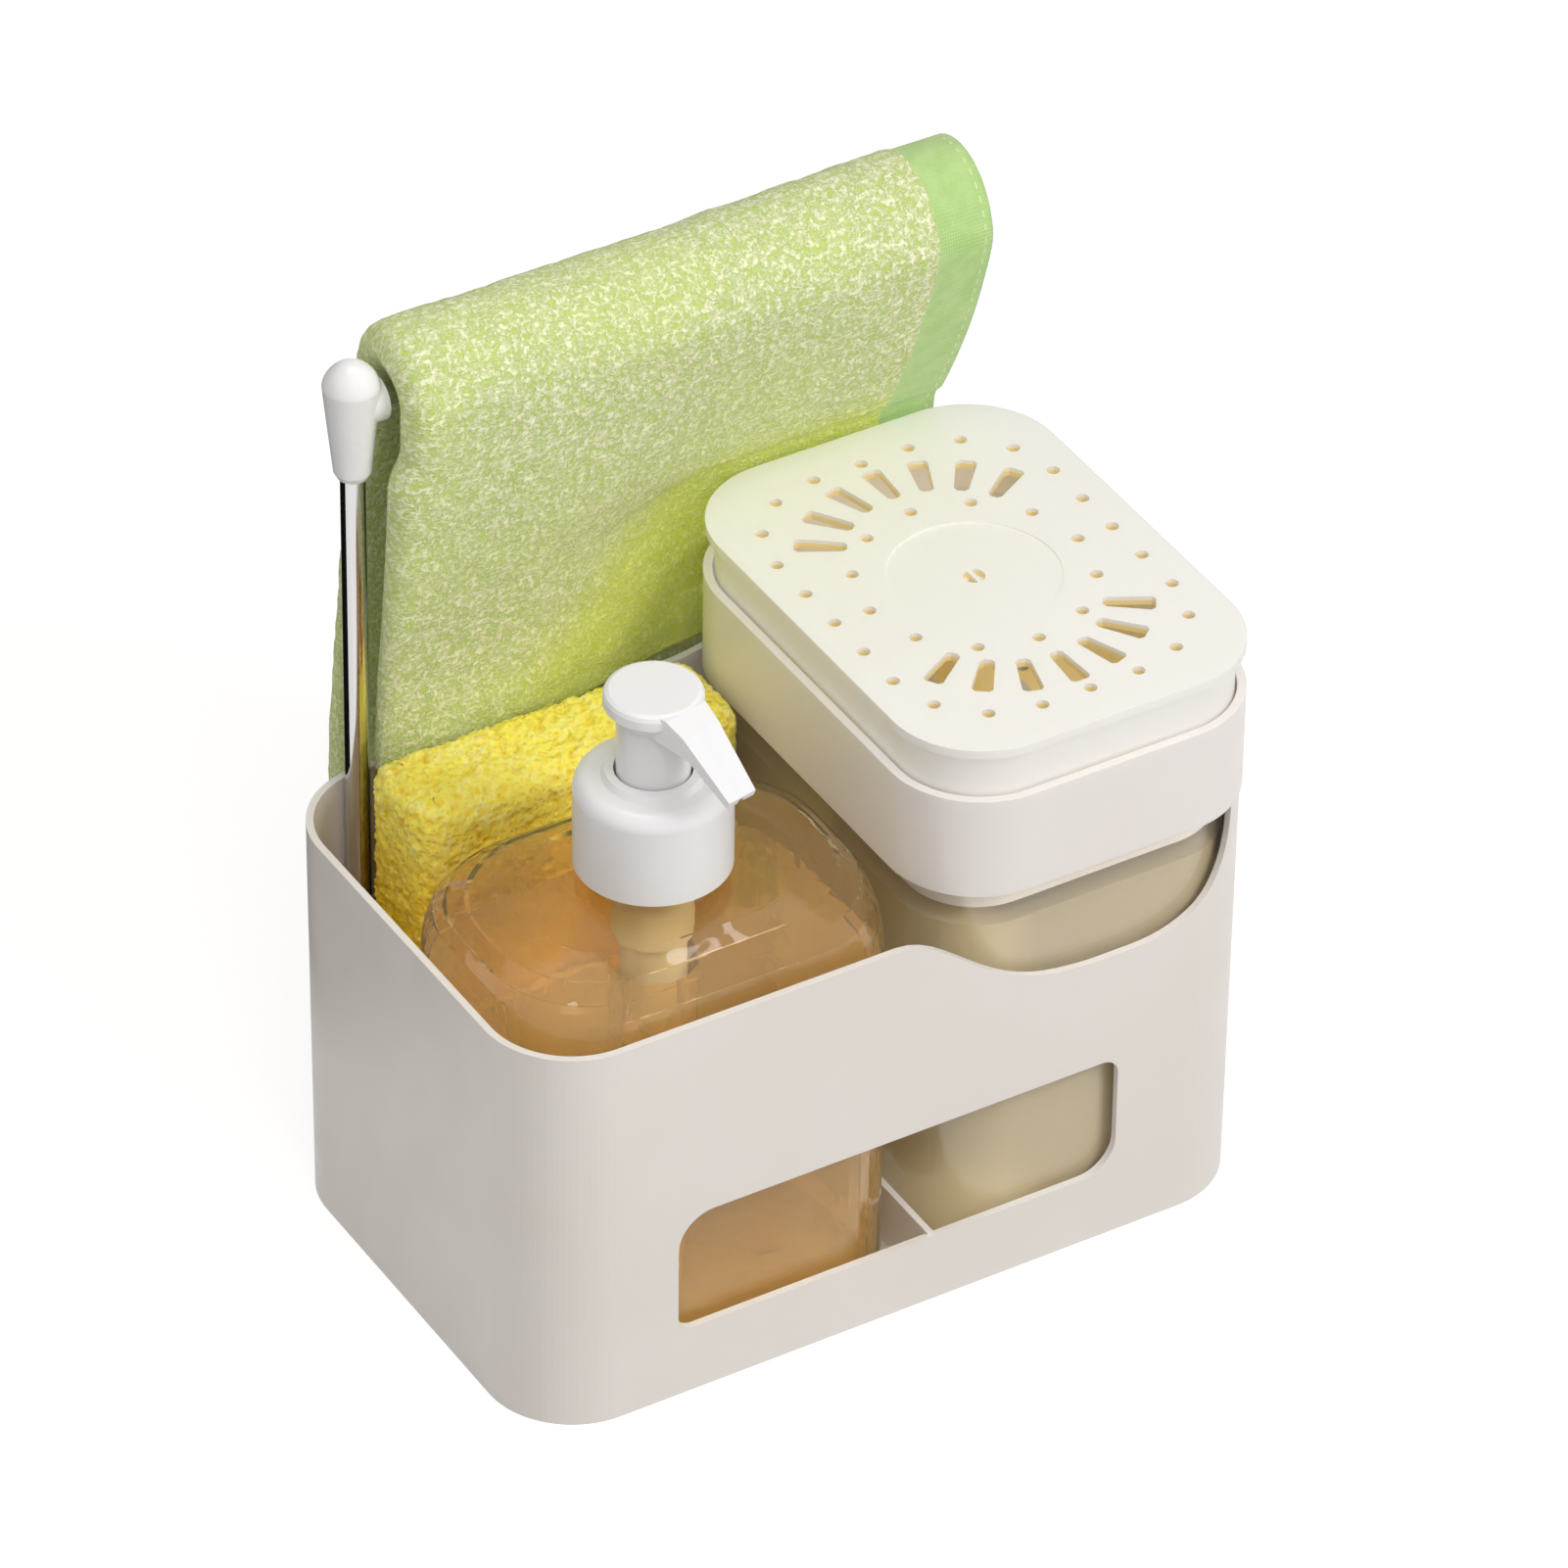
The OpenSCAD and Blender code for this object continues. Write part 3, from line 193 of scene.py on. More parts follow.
# %% Lamps, sky and floor
studio_target = Vector((0.0, 0.0, 0.1))
BACKDROP_GLOW, FLOOR_TONE = 0.66, 0.55
SKY_LEVEL, SKY_COLOUR = 0.49, (1.0, 0.96, 0.92)
PANEL_COLOUR = (0.985, 0.99, 1.0)


def studio_panel(title, direction, distance, side, level):
    """A square lamp that gloss doesn't see.

    Its power is level times pi squared times distance squared, so that a white
    card that faces it returns `level` of white.
    """
    lamp = bpy.data.lights.new(title, "AREA")
    lamp.shape = "SQUARE"
    lamp.size = side
    lamp.energy = level * math.pi ** 2 * distance ** 2
    lamp.color = PANEL_COLOUR
    panel = in_scene(title, lamp)
    panel.visible_glossy = False
    away = Vector(direction).normalized()
    turned = away.to_track_quat("Z", "Y").to_matrix().to_4x4()
    panel.matrix_world = Matrix.Translation(studio_target + away * distance) @ turned
    return lamp.energy


powers = [
    studio_panel("key_panel", direction=(0.40, -0.80, 0.72), distance=1.5, side=0.5, level=0.40),
    studio_panel("top_panel", direction=(-0.35, -0.45, 1.0), distance=1.4, side=0.7, level=0.28),
]
print("panel powers in watts:", [round(power, 2) for power in powers])

sky = bpy.data.worlds.new("even_sky")
bpy.context.scene.world = sky
sky.use_nodes = True
sky_tree = sky.node_tree
sky_tree.nodes.clear()


def seen_directly(tree):
    """1 for rays from the camera, off gloss and through clear pieces, else 0."""
    path = put(tree, "LightPath").outputs
    some = worked(tree, "MAXIMUM", path["Is Camera Ray"], path["Is Glossy Ray"])
    return worked(tree, "MAXIMUM", some, path["Is Transmission Ray"])


seen_sky = seen_directly(sky_tree)
sky_strength = put(sky_tree, "MapRange", {
    "Value": seen_sky, "To Min": SKY_LEVEL, "To Max": 1.0,
}).outputs["Result"]
sky_shader = put(sky_tree, "Background", {
    "Color": mixed(sky_tree, seen_sky, rgb(*SKY_COLOUR), rgb(1, 1, 1)), "Strength": sky_strength,
})
sky_out = put(sky_tree, "OutputWorld")
sky_tree.links.new(sky_shader.outputs[0], sky_out.inputs["Surface"])

floor_mesh = bpy.data.meshes.new("studio_floor")
FLOOR_REACH = 6.0
SQUARE_CORNERS = ((-1, -1), (1, -1), (1, 1), (-1, 1))
floor_mesh.from_pydata(
    [(FLOOR_REACH * a, FLOOR_REACH * b, 0) for a, b in SQUARE_CORNERS], [], [(0, 1, 2, 3)])
studio_floor = in_scene("studio_floor", floor_mesh)
floor_paint, floor_tree, floor_shader = new_paint(
    "floor_paint", Base_Color=rgb(FLOOR_TONE, FLOOR_TONE, FLOOR_TONE), Roughness=0.9,
    Specular_IOR_Level=0.0, Emission_Color=rgb(1, 1, 1))
floor_glow = times(floor_tree, seen_directly(floor_tree), BACKDROP_GLOW)
floor_tree.links.new(floor_glow, floor_shader.inputs["Emission Strength"])
floor_mesh.materials.append(floor_paint)
print("floor reaches, in metres:", FLOOR_REACH)

# %% [markdown]
# ## Two cards for the gloss
# In an all-white studio polished steel looks like paper, and a clear bottle has
# no lights on its shoulder. A photographer stands a black card beside the steel
# and hangs a bright window over the bottle. Here both are seen by gloss alone,
# so they neither light the object nor shade it.

# %% A dark card for the steel, a window for the bottle
def gloss_card(title, corners, glow):
    """A card that only gloss sees: black, or as bright as `glow` times white."""
    paint, _, _ = new_paint(
        title + "_paint", Base_Color=rgb(0.01, 0.01, 0.01), Specular_IOR_Level=0.0,
        Emission_Color=rgb(1, 1, 1), Emission_Strength=glow)
    mesh = bpy.data.meshes.new(title)
    mesh.from_pydata(corners, [], [(0, 1, 2, 3)])
    mesh.materials.append(paint)
    card = in_scene(title, mesh)
    card.visible_camera = card.visible_diffuse = False
    card.visible_shadow = card.visible_transmission = False


post_low, post_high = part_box("rail_post")
post_foot = Vector(((post_low.x + post_high.x) / 2, (post_low.y + post_high.y) / 2, 0.0))
card_near, card_far = post_foot + Vector((-0.103, 0.014, 0)), post_foot + Vector((0.02, 0.10, 0))
card_rise = Vector((0, 0, 0.26))
gloss_card("dark_card", [card_near, card_far, card_far + card_rise, card_near + card_rise], 0.0)

WINDOW_AWAY, WINDOW_GLOW = 1.3, 7.0
window_way = Vector((0.07, 0.15, 0.98)).normalized()
window_side = Vector((0, 0, 1)).cross(window_way).normalized() * 0.36
window_rise = window_way.cross(window_side).normalized() * 0.26
window_middle = studio_target + window_way * WINDOW_AWAY
window_corners = [window_middle + window_side * a + window_rise * b for a, b in SQUARE_CORNERS]
gloss_card("window_card", window_corners, WINDOW_GLOW)
print("window card in metres:", [round(2 * way.length, 2) for way in (window_side, window_rise)])

# %% [markdown]
# ## Patterns that several finishes share
# Moulded plastic is never one flat colour: its skin has a fine grain from the
# mould, and its tone and gloss drift a little. Things near a sink also carry
# dried water marks. Each effect is built once as a node group, with its scale
# and colours as inputs, and each material places it with values of its own.

# %% The moulded skin: grain, drift of tone, drift of gloss
def new_pattern(title, takes, gives):
    """An empty node group with named inputs and outputs, and its two end nodes."""
    group = bpy.data.node_groups.new(title, "ShaderNodeTree")
    for name, kind, value in takes:
        socket = group.interface.new_socket(name, in_out="INPUT", socket_type="NodeSocket" + kind)
        if value is not None:
            socket.default_value = value
    for name, kind in gives:
        group.interface.new_socket(name, in_out="OUTPUT", socket_type="NodeSocket" + kind)
    ends = group.nodes.new("NodeGroupInput").outputs, group.nodes.new("NodeGroupOutput").inputs
    return group, *ends


def wire(tree, pairs):
    """Link each source socket to its target socket."""
    for source, target in pairs:
        tree.links.new(source, target)


skin, skin_in, skin_out = new_pattern(
    "moulded_skin",
    [("Point", "Vector", None), ("Grain per metre", "Float", 2400.0),
     ("Tone", "Color", rgb(0.8, 0.8, 0.8)), ("Drifted Tone", "Color", rgb(0.7, 0.7, 0.7)),
     ("Low Roughness", "Float", 0.3), ("High Roughness", "Float", 0.4)],
    [("Colour", "Color"), ("Roughness", "Float"), ("Height", "Float")],
)
grain = noise(skin, skin_in["Point"], skin_in["Grain per metre"], 2.0)
cloud_share = ramped(skin, noise(skin, skin_in["Point"], 19.0, 3.0), 0.35, 0.65)
gloss_share = ramped(skin, noise(skin, skin_in["Point"], 85.0, 4.0), 0.3, 0.7)
gloss_level = put(skin, "MapRange", {
    "Value": gloss_share, "To Min": skin_in["Low Roughness"], "To Max": skin_in["High Roughness"],
}).outputs["Result"]
wire(skin, [
    (mixed(skin, cloud_share, skin_in["Tone"], skin_in["Drifted Tone"]), skin_out["Colour"]),
    (gloss_level, skin_out["Roughness"]),
    (grain, skin_out["Height"]),
])
print("group", skin.name, "with", len(skin.nodes), "nodes")

# %% Dried water marks: thin rings round a few scattered drops
marks, marks_in, marks_out = new_pattern(
    "water_marks",
    [("Point", "Vector", None), ("Drops per metre", "Float", 90.0)],
    [("Mask", "Float")],
)
drops = cells(marks, marks_in["Point"], marks_in["Drops per metre"])
ring_outer = ramped(marks, drops, 0.20, 0.25)
ring_inner = ramped(marks, drops, 0.25, 0.30, 1.0, 0.0)
few = ramped(marks, noise(marks, marks_in["Point"], 30.0, 2.0), 0.52, 0.62)
ring = times(marks, ring_outer, ring_inner)
wire(marks, [(times(marks, ring, few), marks_out["Mask"])])
print("group", marks.name, "with", len(marks.nodes), "nodes")

# %% [markdown]
# ## From a pattern to a material
# Every finish starts with a material, its main shader and the point on the
# piece. What varies is wired in from a pattern, and a bump turns a pattern's
# height into a tilt of the surface.

# %% Start a material, and place a pattern in it
def new_finish(title, **plain):
    """A new paint, and the point that is being coloured."""
    material, tree, shader = new_paint(title, **plain)
    return material, tree, shader, put(tree, "TexCoord").outputs["Object"]


def placed(tree, group, inputs):
    """One use of a pattern, with its inputs set or wired."""
    return put(tree, "Group", inputs, node_tree=group).outputs


def raised(tree, shader, height, strength, depth):
    """Feed a height, in metres of depth, to the shader's normal."""
    bump = put(tree, "Bump", {"Height": height, "Strength": strength, "Distance": depth})
    tree.links.new(bump.outputs["Normal"], shader.inputs["Normal"])


def skin_and_marks(tree, shader, point, skin_inputs, drops_per_metre, dulling, relief):
    """Tone, gloss and height follow the skin pattern; water marks roughen thin rings."""
    skin_use = placed(tree, skin, {"Point": point, **skin_inputs})
    drop_use = placed(tree, marks, {"Point": point, "Drops per metre": drops_per_metre})
    rougher = times(tree, drop_use["Mask"], dulling)
    wire(tree, [
        (skin_use["Colour"], shader.inputs["Base Color"]),
        (plus(tree, skin_use["Roughness"], rougher), shader.inputs["Roughness"]),
    ])
    raised(tree, shader, skin_use["Height"], *relief)


# %% [markdown]
# ## Moulded plastics
# The tray is a warm off-white with a satin skin. The soap box's collar and
# plate are creamier, and the pump is a cold glossy white. They differ only in
# tone, grain and gloss, so one function makes them all. Faint water marks
# change the gloss alone, as on a washed surface. The collar and the plate are
# milky: some light soaks into them, and some goes through to what is inside.
# Shadow rays aren't bent by a clear piece, they are stopped by it, so
# `let_light_through` makes such a piece partly see-through for them alone.

# %% Opaque moulded plastics
def let_light_through(tree, shader, share):
    """Only for shadow rays the piece is partly see-through, so its inside isn't black."""
    shadow = put(tree, "LightPath").outputs["Is Shadow Ray"]
    tree.links.new(ramped(tree, shadow, 0.0, 1.0, 1.0, 1.0 - share), shader.inputs["Alpha"])


def moulded_plastic(title, tone, drifted, gloss_range, grain_per_metre=2400.0, grain_depth=0.00002,
                    **plain):
    """A tone that drifts to another, a range of gloss, and a fine grain."""
    material, tree, shader, point = new_finish(title, **plain)
    skin_and_marks(tree, shader, point, {
        "Grain per metre": grain_per_metre, "Tone": tone, "Drifted Tone": drifted,
        "Low Roughness": gloss_range[0], "High Roughness": gloss_range[1],
    }, drops_per_metre=90.0, dulling=0.01, relief=(0.5, grain_depth))
    return material


MILKY = dict(Subsurface_Weight=0.2, Subsurface_Scale=0.004, Subsurface_Radius=(1.0, 0.95, 0.85))
finishes = {
    "tray": moulded_plastic(
        "tray_plastic", rgb(0.82, 0.778, 0.735), rgb(0.80, 0.755, 0.708), (0.34, 0.44),
        grain_depth=0.00004),
    "collar": moulded_plastic(
        "collar_plastic", rgb(0.85, 0.81, 0.78), rgb(0.84, 0.795, 0.755), (0.30, 0.38), **MILKY),
    "plate": moulded_plastic(
        "plate_plastic", rgb(0.91, 0.892, 0.852), rgb(0.90, 0.878, 0.832), (0.34, 0.44),
        Specular_IOR_Level=0.25, **MILKY),
    "pump": moulded_plastic(
        "pump_white_plastic", rgb(0.87, 0.87, 0.88), rgb(0.86, 0.86, 0.87), (0.23, 0.25),
        Specular_IOR_Level=0.25, Subsurface_Weight=0.12, Subsurface_Scale=0.003,
        Subsurface_Radius=(1.0, 0.95, 0.9)),
    "elbow": moulded_plastic(
        "elbow_plastic", rgb(0.89, 0.89, 0.89), rgb(0.87, 0.87, 0.87), (0.24, 0.32),
        Specular_IOR_Level=0.3),
    "cap": moulded_plastic(
        "end_cap_plastic", rgb(0.72, 0.72, 0.71), rgb(0.68, 0.68, 0.67), (0.45, 0.55)),
    "engine": moulded_plastic(
        "milky_plastic", rgb(0.86, 0.85, 0.80), rgb(0.84, 0.82, 0.77), (0.30, 0.42),
        Subsurface_Weight=0.3, Subsurface_Scale=0.003, Transmission_Weight=0.25),
    "seal": moulded_plastic(
        "seal_rubber", rgb(0.42, 0.42, 0.41), rgb(0.36, 0.36, 0.35), (0.6, 0.7),
        grain_per_metre=3600.0),
}
for milky, share in (("collar", 0.5), ("plate", 0.85)):
    milky_tree = finishes[milky].node_tree
    let_light_through(milky_tree, milky_tree.nodes["Principled BSDF"], share)
print("opaque plastics:", sorted(finishes))

# %% [markdown]
# ## Painted bounce light on the collar and in the slots
# Light that bounces inside the soap box, between its cream walls and the soap,
# turns warm. That light is painted here: an amber tint on the slots' walls and on
# the deck below. The tint lies inside a rounded square, whose edge is where x to
# the fourth plus y to the fourth, in half sizes of the plate, reaches a chosen
# sum. So it keeps clear of the collar's rim and the plate's skirt. It ends a
# little below the plate's top, which stays untinted.

# %% A painted amber bounce light between two heights
plate_low, plate_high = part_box("press_plate")
plate_middle, plate_reach = (plate_low + plate_high) / 2, (plate_high - plate_low) / 2
DECK_BELOW_MIDDLE, SLOT_LIP = 0.020, 0.0014
COLLAR_SQUARE, PLATE_SQUARE = 0.93, 0.70
PAINTED_BOUNCE_EDGE, SQUARE_EDGE = 0.0006, 0.15
PAINTED_BOUNCE_AMBER = rgb(0.95, 0.77, 0.38)


def painted_bounce_tint(material, from_height, to_height, square):
    """Painted bounce light tints a piece amber between two heights, where x^4 + y^4 is under
    `square`.
    """
    tree = material.node_tree
    shader = tree.nodes["Principled BSDF"]
    in_half_sizes = put(tree, "Mapping", {
        "Vector": put(tree, "TexCoord").outputs["Object"],
        "Location": (plate_middle.x, plate_middle.y, 0.0),
        "Scale": (plate_reach.x, plate_reach.y, 1.0),
    }, vector_type="TEXTURE").outputs["Vector"]
    spread = put(tree, "SeparateXYZ", {"Vector": in_half_sizes}).outputs
    fourth_x, fourth_y = (worked(tree, "POWER", spread[axis], 4.0) for axis in "XY")
    round_side = plus(tree, fourth_x, fourth_y)
    above = ramped(tree, spread["Z"], from_height - PAINTED_BOUNCE_EDGE, from_height)
    below = ramped(tree, spread["Z"], to_height, to_height + PAINTED_BOUNCE_EDGE, 1.0, 0.0)
    inside = ramped(tree, round_side, square - SQUARE_EDGE, square, 1.0, 0.0)
    # painted bounce light: the share of amber that stands in for warm light inside the box
    painted_bounce_share = times(tree, inside, times(tree, above, below))
    plain_tone = shader.inputs["Base Color"].links[0].from_socket
    tree.links.new(mixed(tree, painted_bounce_share, plain_tone, PAINTED_BOUNCE_AMBER), shader.inputs["Base Color"])


painted_bounce_tint(finishes["collar"], plate_middle.z - DECK_BELOW_MIDDLE, plate_high.z, COLLAR_SQUARE)
painted_bounce_tint(finishes["plate"], plate_low.z, plate_high.z - SLOT_LIP, PLATE_SQUARE)
print("nodes of the plate finish:", len(finishes["plate"].node_tree.nodes))

# %% [markdown]
# ## Clear plastics and liquids
# The bottle is blown from amber plastic: thin, very smooth, with slow waves in
# its wall. The soap box's container is clear with a fine frost. The liquids
# fill the solids inside them, and are a little cloudy, so part of their light
# is scattered back rather than let through.

# %% Clear pieces
def clear_plastic(title, tone, drifted, roughness, waves, wave_depth, **plain):
    """Transmission and refraction are plain values; tone, gloss and surface waves vary."""
    material, tree, shader, point = new_finish(title, **plain)
    skin_and_marks(tree, shader, point, {
        "Grain per metre": waves, "Tone": tone, "Drifted Tone": drifted,
        "Low Roughness": roughness, "High Roughness": roughness * 1.6,
    }, drops_per_metre=120.0, dulling=0.08, relief=(0.35, wave_depth))
    let_light_through(tree, shader, share=0.96)
    return material


finishes.update({
    "bottle": clear_plastic(
        "amber_bottle_plastic", rgb(0.95, 0.77, 0.46), rgb(0.93, 0.73, 0.42),
        roughness=0.03, waves=45.0, wave_depth=0.003,
        Transmission_Weight=0.95, IOR=1.42),
    "amber_soap": clear_plastic(
        "amber_soap_liquid", rgb(0.94, 0.735, 0.385), rgb(0.90, 0.675, 0.32),
        roughness=0.05, waves=60.0, wave_depth=0.003,
        Transmission_Weight=0.84, IOR=1.15),
    "container": clear_plastic(
        "clear_container_plastic", rgb(0.98, 0.95, 0.89), rgb(0.97, 0.93, 0.86),
        roughness=0.04, waves=50.0, wave_depth=0.0009,
        Transmission_Weight=0.97, IOR=1.42),
    "pale_soap": clear_plastic(
        "pale_soap_liquid", rgb(0.98, 0.85, 0.58), rgb(0.965, 0.825, 0.53),
        roughness=0.06, waves=60.0, wave_depth=0.0012,
        Transmission_Weight=0.66, IOR=1.12),
    "tube": clear_plastic(
        "dip_tube_plastic", rgb(0.93, 0.91, 0.85), rgb(0.91, 0.89, 0.82),
        roughness=0.16, waves=90.0, wave_depth=0.0002,
        Transmission_Weight=0.6, IOR=1.49),
})
print("plastics and liquids so far:", len(finishes))

# %% [markdown]
# ## Steel
# The rail is polished stainless tube, drawn through a die, so its faint lines
# run along its length. Noise that is stretched along the rod gives these
# lines. The post stands upright and the bar lies level, so each is stretched
# its own way by a Mapping node.

# %% Polished steel
STEEL_TONE, SPRING_TONE = (0.66, 0.65, 0.64), (0.6, 0.6, 0.6)
MARKS_DULL_STEEL, LINE_DEPTH = 0.10, 0.00001


def drawn_steel(title, tone, squeeze, roughness):
    """Noise squeezed across the rod and stretched along it varies gloss and height."""
    material, tree, shader, point = new_finish(title, Metallic=1.0)
    along = put(tree, "Mapping", {"Vector": point, "Scale": squeeze}).outputs["Vector"]
    lines = noise(tree, along, 1.0, 5.0)
    drop_use = placed(tree, marks, {"Point": point, "Drops per metre": 160.0})
    gloss_drift = ramped(tree, lines, 0.3, 0.7, roughness, roughness * 1.9)
    spotted = times(tree, drop_use["Mask"], MARKS_DULL_STEEL)
    dulled = rgb(*(0.9 * channel for channel in tone))
    line_share = ramped(tree, lines, 0.35, 0.75)
    wire(tree, [
        (mixed(tree, line_share, rgb(*tone), dulled), shader.inputs["Base Color"]),
        (plus(tree, gloss_drift, spotted), shader.inputs["Roughness"]),
    ])
    raised(tree, shader, lines, 0.25, LINE_DEPTH)
    return material


finishes.update({
    "post": drawn_steel("post_steel", STEEL_TONE, squeeze=(2600, 2600, 18), roughness=0.07),
    "bar": drawn_steel("bar_steel", STEEL_TONE, squeeze=(18, 2600, 2600), roughness=0.07),
    "spring": drawn_steel("spring_steel", SPRING_TONE, squeeze=(900, 900, 900), roughness=0.18),
})
print("finishes with the steel:", len(finishes))

# %% [markdown]
# ## Which piece wears what
# What the hand touches on the pump is white, and what works inside both pumps
# is milky. The towel and the sponge are missing here, because new pieces take
# their places below.

# %% Give every CAD node its finish
finish_of_node = {
    "tray": ["tray_shell"],
    "collar": ["box_collar"],
    "plate": ["press_plate"],
    "pump": ["pump_collar", "pump_head", "pump_stem", "box_stem"],
    "elbow": ["rail_elbow"],
    "cap": ["rail_end_cap"],
    "engine": [
        "pump_barrel", "pump_bush", "pump_piston",
        "box_barrel", "box_barrel_nut", "box_bush", "box_piston",
    ],
    "seal": ["pump_gasket", "container_seal"],
    "bottle": ["bottle_shell"],
    "amber_soap": ["bottle_liquid"],
    "container": ["soap_container"],
    "pale_soap": ["container_liquid"],
    "tube": ["bottle_dip_tube", "box_dip_tube"],
    "post": ["rail_post"],
    "bar": ["rail_bar"],
    "spring": ["pump_spring", "box_spring", "pump_ball", "box_ball"],
}
finished_nodes = []
for finish_name, node_names in finish_of_node.items():
    for node_name in node_names:
        for material_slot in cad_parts[node_name].material_slots:
            material_slot.material = finishes[finish_name]
        finished_nodes.append(node_name)
unfinished = sorted(set(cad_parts) - set(finished_nodes))
print("nodes finished:", len(finished_nodes), "left:", unfinished)

# %% [markdown]
# ## Surfaces from grids of points
# The towel and the sponge are each one surface: a shape that is a function of
# two parameters, worked out for a whole grid at once. `grid_piece` turns such
# a grid into a mesh. A grid's normals come from the cross product of its two
# directions, and a height along them gives pile and pores real depth.

# %% Helpers for grids
def ease(share):
    """Smooth step: 3 t^2 - 2 t^3 for t held between 0 and 1."""
    t = np.clip(share, 0.0, 1.0)
    return t * t * (3 - 2 * t)


def between(first, second, share):
    """The value that lies a share of the way from first to second."""
    return first + (second - first) * share


def grid_piece(title, points, material, round_columns=False, uv=None, dots=None):
    """Mesh with one four-sided face for each cell of the grid (rows, columns, xyz)."""
    rows, columns = points.shape[:2]
    number = np.arange(rows * columns).reshape(rows, columns)
    if round_columns:
        number = np.concatenate([number, number[:, :1]], axis=1)
    corners = [number[:-1, :-1], number[:-1, 1:], number[1:, 1:], number[1:, :-1]]
    faces = np.stack(corners, axis=-1).reshape(-1, 4)
    mesh = bpy.data.meshes.new(title)
    mesh.from_pydata(points.reshape(-1, 3), [], faces)
    if uv is not None:
        layer = mesh.uv_layers.new(name="UVMap")
        layer.data.foreach_set("uv", uv.reshape(-1, 2)[faces.ravel()].astype(np.float32).ravel())
    if dots is not None:
        layer = mesh.attributes.new("pore", "FLOAT", "POINT")
        layer.data.foreach_set("value", dots.astype(np.float32).ravel())
    mesh.polygons.foreach_set("use_smooth", np.ones(len(faces), bool))
    mesh.materials.append(material)
    mesh.update()
    return in_scene(title, mesh)


def grid_normals(points, round_columns=False):
    """Unit normals: the cross product of the steps along columns and rows."""
    if round_columns:
        across = np.roll(points, -1, axis=1) - np.roll(points, 1, axis=1)
    else:
        across = np.gradient(points, axis=1)
    normal = np.cross(across, np.gradient(points, axis=0))
    return normal / np.maximum(np.linalg.norm(normal, axis=-1, keepdims=True), 1e-12)


LATTICE_SIZE = (211, 223)


def smooth_noise(u, v, cell, seed):
    """Random heights from -1 to 1 on a square lattice, eased between its corners."""
    lattice = np.random.default_rng(seed).uniform(-1, 1, LATTICE_SIZE)
    gu, gv = u / cell, v / cell
    iu, iv = np.floor(gu).astype(int), np.floor(gv).astype(int)
    fu, fv = ease(gu - iu), ease(gv - iv)
    iu, iv = iu % (LATTICE_SIZE[0] - 1), iv % (LATTICE_SIZE[1] - 1)
    low = between(lattice[iu, iv], lattice[iu + 1, iv], fu)
    high = between(lattice[iu, iv + 1], lattice[iu + 1, iv + 1], fu)
    return between(low, high, fv)


# %% [markdown]
# ## The towel's cloth
# Terry is a woven ground with thousands of small loops standing up from it.
# From a metre away the loops read as bright tips with dark gaps between them;
# both are painted here: the gaps' darker green is painted shade, the tips'
# paler colour a painted sheen.
# The pattern follows the cloth, so it reads the cloth's own UV map, which is
# laid out in metres. A Voronoi texture gives one cell a loop: its middle is the
# tip, its edge the gap. Noise on top of it makes some loops lie over. Each end
# of the towel has a woven band without loops, with fine ribs and a line of
# stitches. The corner that hangs behind the soap box lies in the box's shadow,
# so a deeper, more saturated green is painted there: painted shade.

# %% Terry with a woven band
BAND_WIDTH = 15 * MM
TOWEL_CUT_WIDTH = 0.306
LOOPS, SMALL_LOOPS, TUFTS, CLUMPS, PATCHES, BAND_TONES = 950.0, 2100.0, 640.0, 260.0, 26.0, 180.0
RIB_WAVES, WARP_WAVES, STITCH_WAVES = 7200.0, 9000.0, 1900.0
# painted shade: how much of the deeper green the shaded corner gets
PAINTED_SHADE_SHARE, PAINTED_SHADE_GREEN = 0.62, rgb(0.74, 0.84, 0.02)


